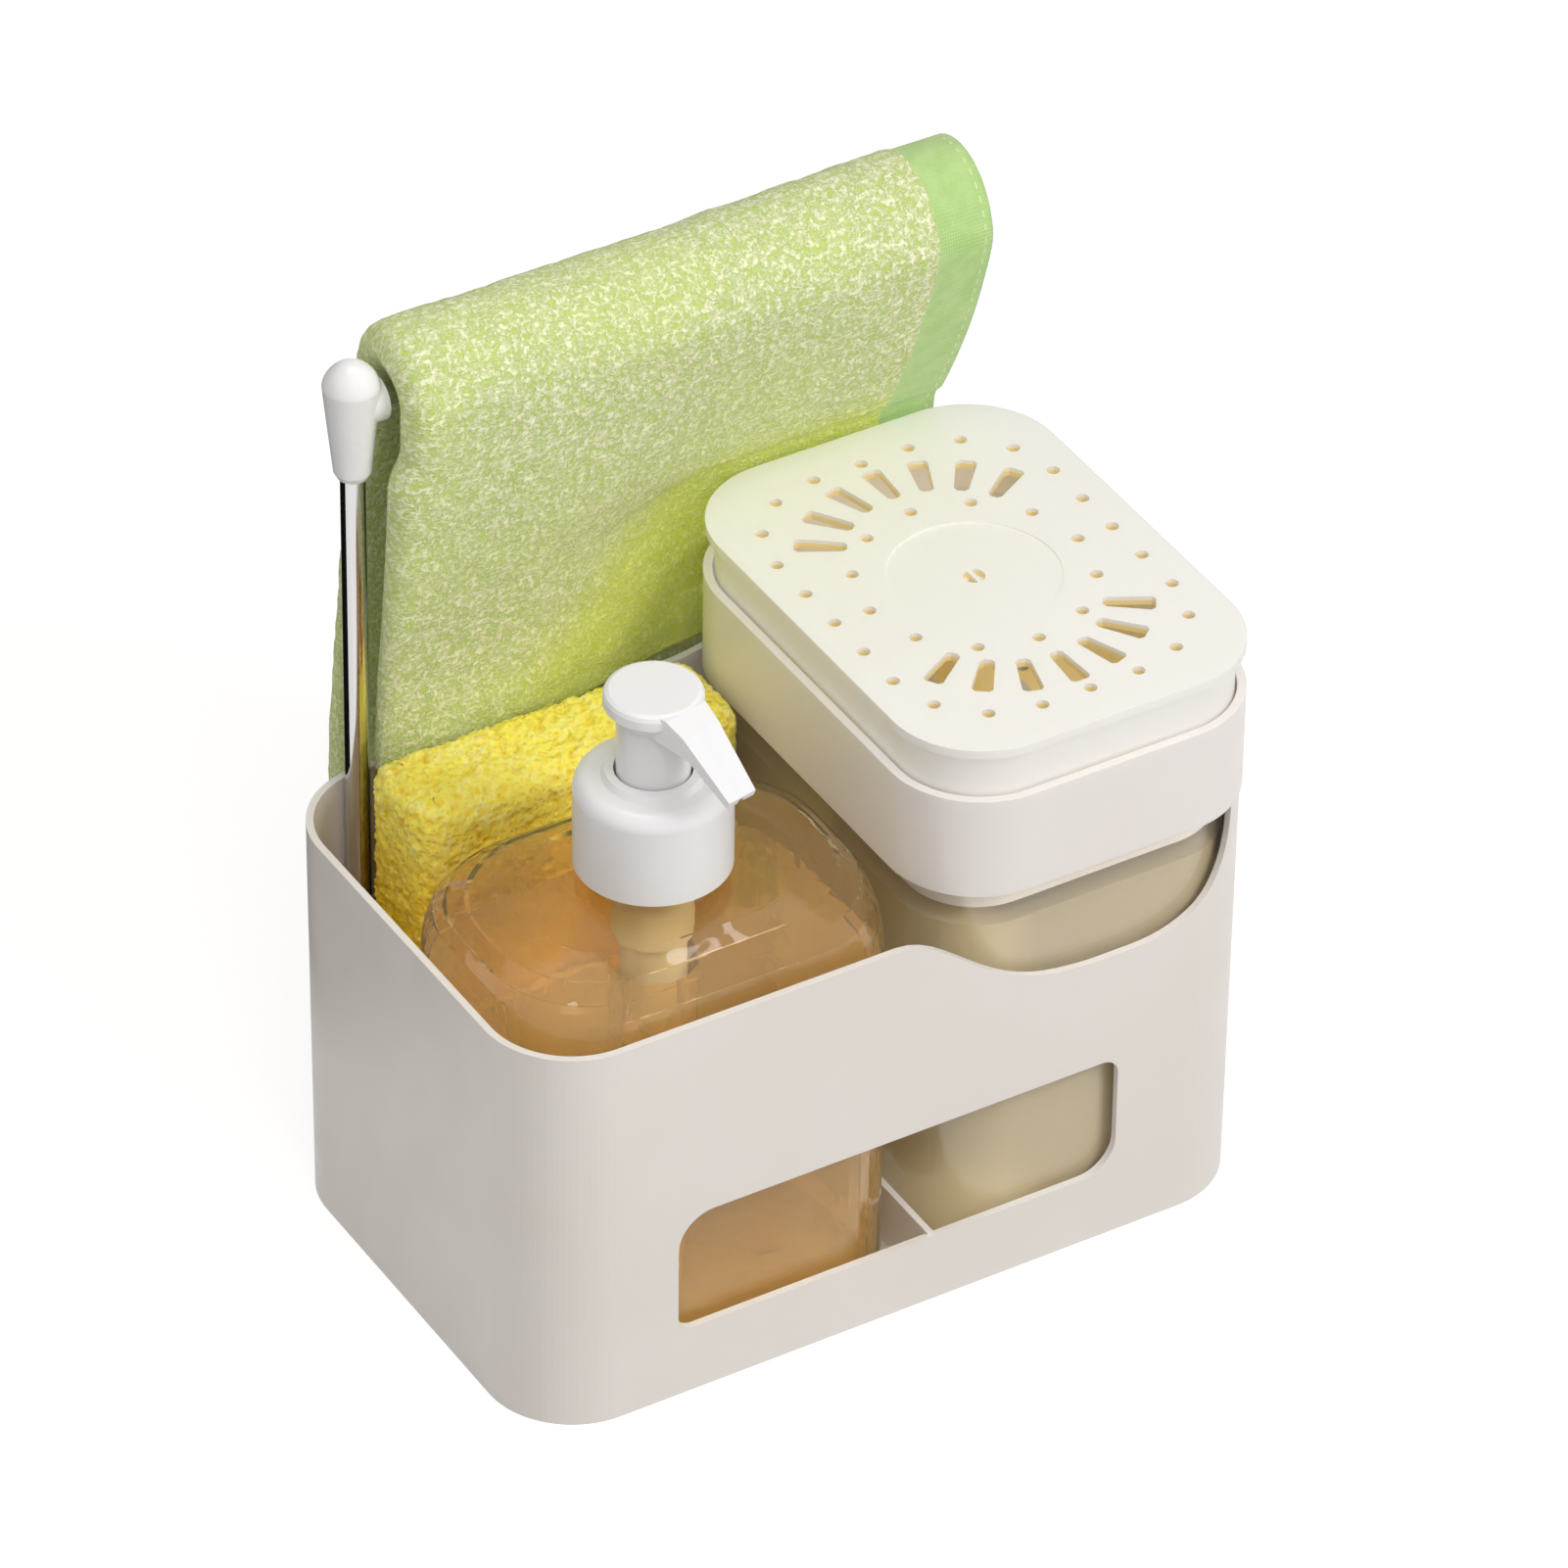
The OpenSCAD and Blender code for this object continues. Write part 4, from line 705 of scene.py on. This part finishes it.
def terry_cloth():
    """Loops where the pile is, ribs and stitches on the two woven bands.

    The pile's lay is a quarter big loops, a quarter small ones and a half fine
    noise, plus clumps. It mixes the painted shade between the loops with the
    painted sheen of their tips.
    """
    material, tree, shader, _ = new_finish(
        "terry_cloth", Sheen_Weight=0.25, Sheen_Roughness=0.5, Specular_IOR_Level=0.15)
    cloth = put(tree, "TexCoord").outputs["UV"]
    map_axes = put(tree, "SeparateXYZ", {"Vector": cloth}).outputs
    across, length = map_axes["X"], map_axes["Y"]
    tip = ramped(tree, cells(tree, cloth, LOOPS, 0.9, flat=True), 0.75, 0.2)
    fleck = ramped(tree, cells(tree, cloth, SMALL_LOOPS, flat=True), 0.7, 0.15)
    speck = ramped(tree, noise(tree, cloth, TUFTS, 5.0, flat=True, Roughness=0.75), 0.40, 0.60)
    clump = ramped(tree, noise(tree, cloth, CLUMPS, 3.0, flat=True), 0.3, 0.7, -0.12, 0.12)
    loop_share = plus(tree, times(tree, tip, 0.25), times(tree, fleck, 0.25))
    speckled = plus(tree, loop_share, times(tree, speck, 0.5))
    lay = ramped(tree, plus(tree, speckled, clump), 0.0, 1.0)
    patch_share = ramped(tree, noise(tree, cloth, PATCHES, 2.0, flat=True), 0.35, 0.65)
    # painted shade between the loops, and painted sheen on their tips
    shade = mixed(tree, patch_share, rgb(0.53, 0.70, 0.14), rgb(0.59, 0.74, 0.17))
    tips = mixed(tree, patch_share, rgb(0.99, 1.0, 0.69), rgb(0.96, 1.0, 0.60))
    pile_before_corner_shade = mixed(tree, lay, shade, tips)
    # painted shade near the front hem's corner, which lies in the soap box's shadow;
    # there the sum of both ways is small
    near_corner = ramped(tree, plus(tree, across, length), 0.112, 0.145, 1.0, 0.0)
    near_hem = ramped(tree, length, 0.045, 0.065, 1.0, 0.0)
    painted_corner_shade = times(tree, near_corner, near_hem)
    pile_colour = mixed(tree, times(tree, painted_corner_shade, PAINTED_SHADE_SHARE), pile_before_corner_shade, PAINTED_SHADE_GREEN)
    # the band: ribs across the weave, and a stitch line that runs along it
    rib = worked(tree, "SINE", times(tree, length, RIB_WAVES))
    warp = worked(tree, "SINE", times(tree, across, WARP_WAVES))
    weave = times(tree, plus(tree, rib, times(tree, warp, 0.5)), 0.33)
    band_share = ramped(tree, noise(tree, cloth, BAND_TONES, 4.0, flat=True), 0.3, 0.7)
    band_colour = mixed(tree, band_share, rgb(0.44, 0.66, 0.235), rgb(0.51, 0.71, 0.29))
    from_edge = worked(tree, "MINIMUM", across, worked(tree, "SUBTRACT", TOWEL_CUT_WIDTH, across))
    on_pile = ramped(tree, from_edge, BAND_WIDTH - 0.4 * MM, BAND_WIDTH + 0.4 * MM)
    thread = ramped(tree, worked(tree, "SINE", times(tree, length, STITCH_WAVES)), -0.2, 0.3)
    seam_out = ramped(tree, from_edge, 1.6 * MM, 1.9 * MM)
    seam_in = ramped(tree, from_edge, 2.2 * MM, 2.5 * MM, 1.0, 0.0)
    stitch = times(tree, times(tree, seam_out, seam_in), thread)
    band_height = plus(tree, weave, times(tree, stitch, 1.2))
    height = put(tree, "Mix", {0: on_pile, 2: times(tree, band_height, 0.25), 3: lay}).outputs[0]
    stitched = mixed(tree, stitch, band_colour, rgb(0.66, 0.80, 0.42))
    colour = mixed(tree, on_pile, stitched, pile_colour)
    wire(tree, [
        (colour, shader.inputs["Base Color"]),
        (ramped(tree, on_pile, 0.0, 1.0, 0.75, 0.95), shader.inputs["Roughness"]),
    ])
    raised(tree, shader, height, 0.6, 0.0007)
    return material


finishes["terry"] = terry_cloth()
print("nodes of the terry finish:", len(finishes["terry"].node_tree.nodes))

# %% [markdown]
# ## How the towel hangs
# The towel is folded once along its length and then laid over the bar, so each
# side of the drape is two layers, joined by a fold at the left edge. The
# drape's section has an outer and an inner line, each worked out as in the CAD
# model. A layer lies at a depth between these two lines. On its left half the
# front hangs free, and on its right half it is pushed back by the soap box. The
# cloth lies still against its neighbours, so its shape is worked out directly,
# and no cloth simulation has to find it.

# %% The towel's section, from the front hem over the bar to the back hem
towel_low, towel_high = (np.array(corner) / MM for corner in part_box("towel"))
bar_low, bar_high = (np.array(corner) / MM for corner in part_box("rail_bar"))
collar_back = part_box("box_collar")[1].y / MM
sponge_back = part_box("sponge")[1].y / MM
BAR_Y, BAR_Z = (bar_low[1] + bar_high[1]) / 2, (bar_low[2] + bar_high[2]) / 2
BAR_RADIUS = (bar_high[1] - bar_low[1]) / 2
FRONT_HEM_Z, BACK_HEM_Z = 112.0, towel_low[2]
FOLD_RADIUS, CORE_RADIUS, SINGLE_DEPTH = 16.6, BAR_RADIUS + 1.5, 6.0
BACK_LEAN, RIGHT_RISE = 4.0, 2.5
SPONGE_ROOM, COLLAR_ROOM = 2.7, 1.0
PUSH_START, PUSH_LENGTH = 0.2, 0.42
front_hang, back_hang = BAR_Z - FRONT_HEM_Z, BAR_Z - BACK_HEM_Z
lean_start = (BAR_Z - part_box("press_plate")[1].z / MM - 0.9) / front_hang
LEAN_STEPS = np.array([1, 0.88, 0.67, 0.42, 0.18])
DROPS = np.concatenate([[1, (1 + lean_start) / 2], LEAN_STEPS * lean_start])
FREE = np.array([0, 0.13, 0.43, 0.52, 0.69, 0.85, 0.97])
PUSHED = np.array([0, 0, 0, 0.17, 0.43, 0.69, 0.89])
turn = np.linspace(0, math.pi, 11)


def towel_section(share):
    """Outer and inner line (y, z) of the drape, for an array of shares along the bar.

    The front's knots lie between a free line and a pushed one. Over the bar both
    lines are half circles, and the back leans out in step with its drop.
    """
    pushed = ease((share - PUSH_START) / PUSH_LENGTH)[:, None]
    rise = RIGHT_RISE * ease((share - 0.4) * 2)[:, None]
    free_y = between(sponge_back + SPONGE_ROOM, BAR_Y - FOLD_RADIUS, FREE)
    pushed_y = between(collar_back + COLLAR_ROOM, BAR_Y - FOLD_RADIUS, PUSHED)
    front_y = between(free_y, pushed_y, pushed)
    front_z = np.broadcast_to(BAR_Z - front_hang * DROPS, front_y.shape)
    back_z = np.broadcast_to(BAR_Z - back_hang * DROPS[::-1], front_y.shape)
    back_y = BAR_Y + FOLD_RADIUS + BACK_LEAN * np.broadcast_to(DROPS[::-1], front_y.shape)
    arc_y = np.broadcast_to(BAR_Y - FOLD_RADIUS * np.cos(turn), (len(share), len(turn)))
    arc_z = BAR_Z + (FOLD_RADIUS + rise) * np.sin(turn)

    def back_inner(drop):
        """The back's inner line, which thins as it drops."""
        thick = between(FOLD_RADIUS - CORE_RADIUS, SINGLE_DEPTH, ease(drop * 2.6))
        return BAR_Y + FOLD_RADIUS + BACK_LEAN * drop - thick

    front_thick = between(FOLD_RADIUS - CORE_RADIUS, SINGLE_DEPTH, ease(DROPS * 1.2))
    inner_front = np.minimum(front_y + front_thick, back_inner((BAR_Z - front_z) / back_hang) - 0.5)
    inner_back = np.broadcast_to(back_inner(DROPS[::-1]), front_y.shape)
    core_y = np.broadcast_to(BAR_Y - CORE_RADIUS * np.cos(turn), arc_y.shape)
    core_z = np.broadcast_to(BAR_Z + CORE_RADIUS * np.sin(turn), arc_y.shape)
    outer = np.hstack([front_y, arc_y, back_y]), np.hstack([front_z, arc_z, back_z])
    inner = np.hstack([inner_front, core_y, inner_back]), np.hstack([front_z, core_z, back_z])
    return np.stack(outer, axis=-1), np.stack(inner, axis=-1)


def rounded_line(knots, steps):
    """Catmull-Rom curve through knots (shares, knots, yz), read at fractional knot numbers.

    Its slope at a knot is half the step from the knot before to the knot after.
    """
    last = knots.shape[1] - 1
    cell = np.clip(np.floor(steps).astype(int), 0, last - 1)
    t = (steps - cell)[None, :, None]
    p0, p1 = knots[:, np.maximum(cell - 1, 0)], knots[:, cell]
    p2, p3 = knots[:, cell + 1], knots[:, np.minimum(cell + 2, last)]
    return 0.5 * (
        2 * p1 + (p2 - p0) * t + (2 * p0 - 5 * p1 + 4 * p2 - p3) * t ** 2
        + (3 * p1 - p0 - 3 * p2 + p3) * t ** 3
    )


def way_along(points):
    """Length walked to each point of a line, from its first point."""
    return np.concatenate([[0], np.cumsum(np.linalg.norm(np.diff(points, axis=0), axis=1))])


ROW_STEP = 1.35
TRIAL_SHARE = 0.3
trial_outer, _ = towel_section(np.array([TRIAL_SHARE]))
knot_way = way_along(trial_outer[0])
towel_drape = knot_way[-1]
row_way = np.linspace(0, towel_drape, int(towel_drape / ROW_STEP))
row_steps = np.interp(row_way, knot_way, np.arange(len(knot_way)))
print("length of the drape in mm:", round(float(towel_drape), 1), "rows:", len(row_way))

# %% [markdown]
# ## Two layers and the fold between them
# The columns of the grid run from the right edge of the outer layer to its left
# edge, round the fold, and back along the inner layer. The fold is a half turn:
# its angle goes from -90 to 90 degrees, the sine gives the depth between the
# layers and the cosine gives how far the fold stands out to the left.

# %% Lay the towel over the bar
LAYER, THIN_FOLD, END_ROOM = 2.6, 0.3, 0.3
OUTER_COLUMNS, FOLD_COLUMNS, INNER_COLUMNS = 118, 9, 48
INNER_END = 0.975
BACK_SPREAD, FRONT_SPREAD, SPREAD_DROP = 5.3, 3.2, 10.5
left_x, right_x = towel_low[0] + BACK_SPREAD, towel_high[0]
outer_shares = np.linspace(1, 0, OUTER_COLUMNS)
inner_shares = np.linspace(0, INNER_END, INNER_COLUMNS)
fold_turn = np.linspace(-math.pi / 2, math.pi / 2, FOLD_COLUMNS)[1:-1]
column_share = np.concatenate([outer_shares, np.zeros(len(fold_turn)), inner_shares])
outer_line, inner_line = (
    rounded_line(line, row_steps) for line in towel_section(column_share))
gap_line = inner_line - outer_line
depth_room = np.linalg.norm(gap_line, axis=-1)
fold_half = np.maximum((depth_room - LAYER) / 2, THIN_FOLD)
fold_angle = np.concatenate([
    np.full(len(outer_shares), -math.pi / 2), fold_turn, np.full(len(inner_shares), math.pi / 2),
])[:, None]
depth = depth_room / 2 + fold_half * np.sin(fold_angle)
# the left edge runs out a little below the bar, at the back all the way to the hem
drop_below = BAR_Z - outer_line[..., 1]
behind = np.arange(len(row_steps)) > row_steps.searchsorted(len(knot_way) // 2)
back_spread = BACK_SPREAD * ease(drop_below / back_hang)
front_spread = FRONT_SPREAD * ease((drop_below - SPREAD_DROP) / SPREAD_DROP)
left_line = left_x - np.where(behind[None, :], back_spread, front_spread)
start_x = left_line + LAYER / 2 + fold_half
towel_x = np.where(
    np.abs(fold_angle) < math.pi / 2 - 1e-6,
    start_x - fold_half * np.cos(fold_angle),
    between(start_x, right_x - END_ROOM, column_share[:, None]),
)
towel_yz = outer_line + gap_line / depth_room[..., None] * depth[..., None]
towel_grid = np.concatenate([towel_x[..., None], towel_yz], axis=-1)
print("columns and rows of the towel:", towel_x.shape)

# %% [markdown]
# ## The cloth's map and its relief
# The map says where each point lies on the flat cloth, in metres, so the terry
# keeps its scale round the fold. The relief is lumps of pile and slow waves,
# laid on along the normals. The hidden inner layer takes a quarter of it.

# %% The map in metres, the relief, and the finished towel
MEASURED_ROW = 60
across_way = way_along(towel_grid[:, MEASURED_ROW])
cloth_u = np.broadcast_to((across_way * TOWEL_CUT_WIDTH / across_way[-1])[:, None], towel_x.shape)
cloth_v = np.broadcast_to((row_way * MM)[None, :], towel_x.shape)
from_edge = np.minimum(cloth_u, TOWEL_CUT_WIDTH - cloth_u)
on_pile = ease((from_edge - BAND_WIDTH + 0.5 * MM) / MM)
PILE_HEIGHT, HIDDEN_RELIEF = 0.35, 0.25
cloth_mm = (cloth_u / MM, cloth_v / MM)
lumps = 0.22 * smooth_noise(*cloth_mm, cell=2.7, seed=3)
lumps = lumps + 0.25 * smooth_noise(*cloth_mm, cell=9, seed=4)
waves = 0.5 * smooth_noise(*cloth_mm, cell=34, seed=5)
relief = (lumps + PILE_HEIGHT) * on_pile + waves - PILE_HEIGHT
outward = np.where(fold_angle < -0.2, 1.0, HIDDEN_RELIEF)
towel_grid = towel_grid + grid_normals(towel_grid) * (relief * outward)[..., None]

cloth_map = np.stack([cloth_u, cloth_v], axis=-1)
towel_piece = grid_piece("towel_cloth", towel_grid * MM, finishes["terry"], uv=cloth_map)
thickness = towel_piece.modifiers.new("cloth_thickness", "SOLIDIFY")
thickness.thickness = LAYER * MM
thickness.offset = 0.0
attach(towel_piece, "rail")
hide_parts("towel")
print("towel faces:", len(towel_piece.data.polygons))
print("cut in metres:", TOWEL_CUT_WIDTH, "by", round(float(towel_drape) * MM, 3))

# %% [markdown]
# ## The sponge
# Kitchen foam is cut from a block, so its faces are flat but its edges are
# ragged, and every face is open with pores of mixed sizes. The block is a stack
# of rings: each ring follows a rounded rectangle, and the rings close to a line
# at the top and the bottom. The pores come from a jittered lattice of pore
# centres: the nearer a point is to a centre, the deeper it sinks. Kitchen foam
# is too firm to bulge, so it needs no cloth simulation.

# %% Foam finish
# heights over which the painted shade of the foot fades out
FOOT_SHADE_BELOW, FOOT_SHADE_ENDS_ABOVE = 0.072, 0.122


def open_foam():
    """Painted shade: deep pores are dark and orange, the foot a deeper gold.
    Rims are pale, and fine cells come from noise.
    """
    material, tree, shader, point = new_finish(
        "open_foam", Specular_IOR_Level=0.2, Subsurface_Weight=0.2, Subsurface_Scale=0.003)
    pore = put(tree, "Attribute", attribute_name="pore").outputs["Fac"]
    fibre = noise(tree, point, 900.0, 4.0)
    rim = ramped(tree, cells(tree, point, 700.0), 0.15, 0.55)
    body = mixed(tree, rim, rgb(0.98, 0.76, 0.06), rgb(1.0, 0.86, 0.13))
    # painted shade: the sponge's foot lies low in the tray, in shade, so it is
    # painted a deeper gold than its top
    height_up = put(tree, "SeparateXYZ", {"Vector": point}).outputs["Z"]
    body = mixed(tree, ramped(tree, height_up, FOOT_SHADE_BELOW, FOOT_SHADE_ENDS_ABOVE), rgb(1.0, 0.65, 0.02), body)
    bright_fibre = ramped(tree, fibre, 0.42, 0.68)
    bright_patch = ramped(tree, noise(tree, point, 75.0, 3.0), 0.35, 0.65, 0.25, 1.0)
    # painted shade: fewer pale flecks towards the foot
    fleck_share_out_of_shade = ramped(tree, height_up, FOOT_SHADE_BELOW, FOOT_SHADE_ENDS_ABOVE, 0.25, 0.9)
    bright = times(tree, times(tree, bright_fibre, bright_patch), fleck_share_out_of_shade)
    pale = mixed(tree, bright, body, rgb(1.0, 0.94, 0.44))
    # painted shade: the deeper a pore, the darker and more orange it is painted
    with_pore_shade = mixed(tree, times(tree, pore, 0.7), pale, rgb(0.88, 0.60, 0.02))
    height = plus(tree, times(tree, rim, 0.6), times(tree, fibre, 0.5))
    wire(tree, [(with_pore_shade, shader.inputs["Base Color"])])
    shader.inputs["Roughness"].default_value = 0.9
    raised(tree, shader, height, 0.45, 0.0009)
    return material


finishes["foam"] = open_foam()
print("nodes of the foam finish:", len(finishes["foam"].node_tree.nodes))

# %% Pores from a jittered lattice
AXIS_PRIMES = np.array([73856093, 19349663, 83492791])
SALT_PRIME, DRAW_PRIME, STIR_PRIME = 2654435761, 374761393, 1274126177
LOW_31_BITS, LOW_16_BITS = 0x7FFFFFFF, 0xFFFF


def lattice_random(cell, salt):
    """Three repeatable random numbers from 0 to 1 for each lattice cell.

    The cell's own numbers times primes are joined bit by bit, then stirred.
    """
    start = np.bitwise_xor.reduce(cell * AXIS_PRIMES, axis=1) ^ (salt * SALT_PRIME)
    draws = []
    for draw in (1, 2, 3):
        bits = (start + draw * DRAW_PRIME) & LOW_31_BITS
        bits = ((bits ^ (bits >> 13)) * STIR_PRIME) & LOW_31_BITS
        draws.append(((bits ^ (bits >> 16)) & LOW_16_BITS) / LOW_16_BITS)
    return np.stack(draws, axis=-1)


def pore_distance(points, cell_size, salt):
    """Distance to the nearest pore centre in cells; each cell holds one centre."""
    home = np.floor(points / cell_size).astype(np.int64)
    nearest = np.full(len(points), 9.0)
    for neighbour in np.ndindex(3, 3, 3):
        cell = home + np.array(neighbour) - 1
        centre = cell + lattice_random(cell, salt)
        nearest = np.minimum(nearest, np.linalg.norm(points / cell_size - centre, axis=-1))
    return nearest


# %% The foam block
foam_low, foam_high = (np.array(corner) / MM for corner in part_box("sponge"))
FOAM_INSET, FOAM_EDGE, FOAM_STEP = 0.25, 6.5, 0.75
foam_mid = (foam_low + foam_high) / 2
half_l, half_w = (foam_high - foam_low)[:2] / 2 - FOAM_INSET
straight_l, straight_w = half_l - FOAM_EDGE, half_w - FOAM_EDGE
quarter = math.pi / 2 * FOAM_EDGE
ring_way = np.arange(0, 4 * (straight_l + straight_w) + 4 * quarter, FOAM_STEP)


def foam_outline(way):
    """Core point and outward direction at a way round the rounded rectangle.

    The way has four straight legs and a quarter turn after each. The core point
    moves on the straight legs, and the direction on the turns.
    """
    legs = np.array([2 * straight_w, quarter, 2 * straight_l, quarter] * 2)
    ends = np.concatenate([[0], np.cumsum(legs)])
    leg = np.clip(np.searchsorted(ends, way, side="right") - 1, 0, 7)
    part = (way - ends[leg]) / legs[leg]
    corner_x = np.array([1, 1, 1, -1, -1, -1, -1, 1])
    corner_y = np.array([-1, 1, 1, 1, 1, -1, -1, -1])
    straight = leg % 2 == 0

    def on_leg(corner):
        """Moves on a straight leg, and rests on a turn."""
        to_next = between(corner[leg], np.roll(corner, -1)[leg], part)
        return np.where(straight, to_next, corner[leg])

    angle = (leg // 2 + np.where(straight, 0.0, part)) * math.pi / 2
    core_point = np.stack([straight_l * on_leg(corner_x), straight_w * on_leg(corner_y)], axis=-1)
    return core_point, np.stack([np.cos(angle), np.sin(angle)], axis=-1)


core, facing = foam_outline(ring_way)
spine_x = np.clip(core[:, 0], half_w - half_l, half_l - half_w)
spine = np.stack([spine_x, np.zeros(len(core))], axis=-1)
edge_turn = np.linspace(0, math.pi / 2, 13)[1:]
inward = np.linspace(0, 1, int(straight_w / FOAM_STEP))[1:]
side_low, side_high = foam_low[2] + FOAM_INSET + FOAM_EDGE, foam_high[2] - FOAM_INSET - FOAM_EDGE
side_z = np.arange(side_low, side_high, FOAM_STEP)
# each ring of an end has a reach out, a rise, and a share of the way in to the spine
round_rings = [(FOAM_EDGE * math.cos(a), FOAM_EDGE * math.sin(a), 0.0) for a in edge_turn]
flat_rings = [(0.0, FOAM_EDGE, share_in) for share_in in inward]
end_out, end_rise, end_in = np.array(round_rings + flat_rings).T
ring_out = np.concatenate([end_out[::-1], np.full(len(side_z), FOAM_EDGE), end_out])
ring_in = np.concatenate([end_in[::-1], np.zeros(len(side_z)), end_in])
ring_z = np.concatenate([side_z[0] - end_rise[::-1], side_z, side_z[-1] + end_rise])
ring_core = between(core[None], spine[None], ring_in[:, None, None])
ring_xy = ring_core + facing[None] * ring_out[:, None, None]
ring_height = np.broadcast_to(ring_z[:, None, None], ring_xy.shape[:2] + (1,))
foam_grid = np.concatenate([ring_xy + foam_mid[:2], ring_height], axis=-1)
print("rings of the sponge:", len(ring_z), "points in each:", len(ring_way))

# %% [markdown]
# ## Pores and ragged edges
# Wide pores, fine pores and a slow swell sink the surface along its normals.
# The edges that show, at the top and at the left end, are frayed most. Where
# the rings close nothing frays, so that the line stays shut.

# %% Sink the pores, and fray the edges that show
WIDE_PORE, FINE_PORE, SWELL, TUFT = 3.3, 1.7, 9.0, 1.8
RAGGED_DEPTH, RAGGED_REACH, SKIN_DEPTH, SPINE_SINK = 1.5, 9, 0.3, 0.3
flat_points = foam_grid.reshape(-1, 3)
wide_pores = ease(1.35 - pore_distance(flat_points, WIDE_PORE, salt=11) / 0.36)
fine_pores = ease(1.2 - pore_distance(flat_points + 7.7, FINE_PORE, salt=12) / 0.42)
swell = np.clip(pore_distance(flat_points, SWELL, salt=13), 0, 1)
tufts = np.clip(pore_distance(flat_points + 3.1, TUFT, salt=14), 0, 1)
sink = (0.8 * wide_pores + 0.35 * fine_pores + 0.35 * swell).reshape(foam_grid.shape[:2])
foam_normals = grid_normals(foam_grid, round_columns=True)
foam_normals[ring_in > 0] = [0, 0, 1]
foam_normals[:len(flat_rings), :, 2] *= -1
at_spine = (ring_in > 0.999)[:, None]
off_top = np.abs(foam_grid[..., 2] - foam_high[2])
off_end = np.abs(foam_grid[..., 0] - foam_low[0])
near_edge = 1 - 0.8 * ease(np.minimum(off_top, off_end) / RAGGED_REACH)
ragged = near_edge * (tufts.reshape(sink.shape) - 0.55) * np.where(at_spine, 0, RAGGED_DEPTH)
sunk = sink * np.where(at_spine, SPINE_SINK, 1.0) + ragged + SKIN_DEPTH
foam_grid = foam_grid - foam_normals * sunk[..., None]
# painted shade: how deep each point lies in a pore, for the pore colour
pore_shade_mask = np.clip(0.75 * wide_pores + 0.45 * fine_pores, 0, 1)
print("deepest point of the sponge in mm:", round(float(sunk.max()), 2))

# %% [markdown]
# ## A closed block
# Along the line where the rings close, points of both sides fall together. They
# are merged, so that no edge is open, and the faces are turned outwards.

# %% The finished sponge
sponge_piece = grid_piece(
    "sponge_foam", foam_grid * MM, finishes["foam"], round_columns=True, dots=pore_shade_mask)
MERGE_WITHIN = 0.000002
shaped = bmesh.new()
shaped.from_mesh(sponge_piece.data)
bmesh.ops.remove_doubles(shaped, verts=shaped.verts, dist=MERGE_WITHIN)
bmesh.ops.recalc_face_normals(shaped, faces=shaped.faces)
print("open edges of the sponge:", sum(len(edge.link_faces) != 2 for edge in shaped.edges))
shaped.to_mesh(sponge_piece.data)
shaped.free()
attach(sponge_piece, "tray")
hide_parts("sponge")
print("sponge faces:", len(sponge_piece.data.polygons))
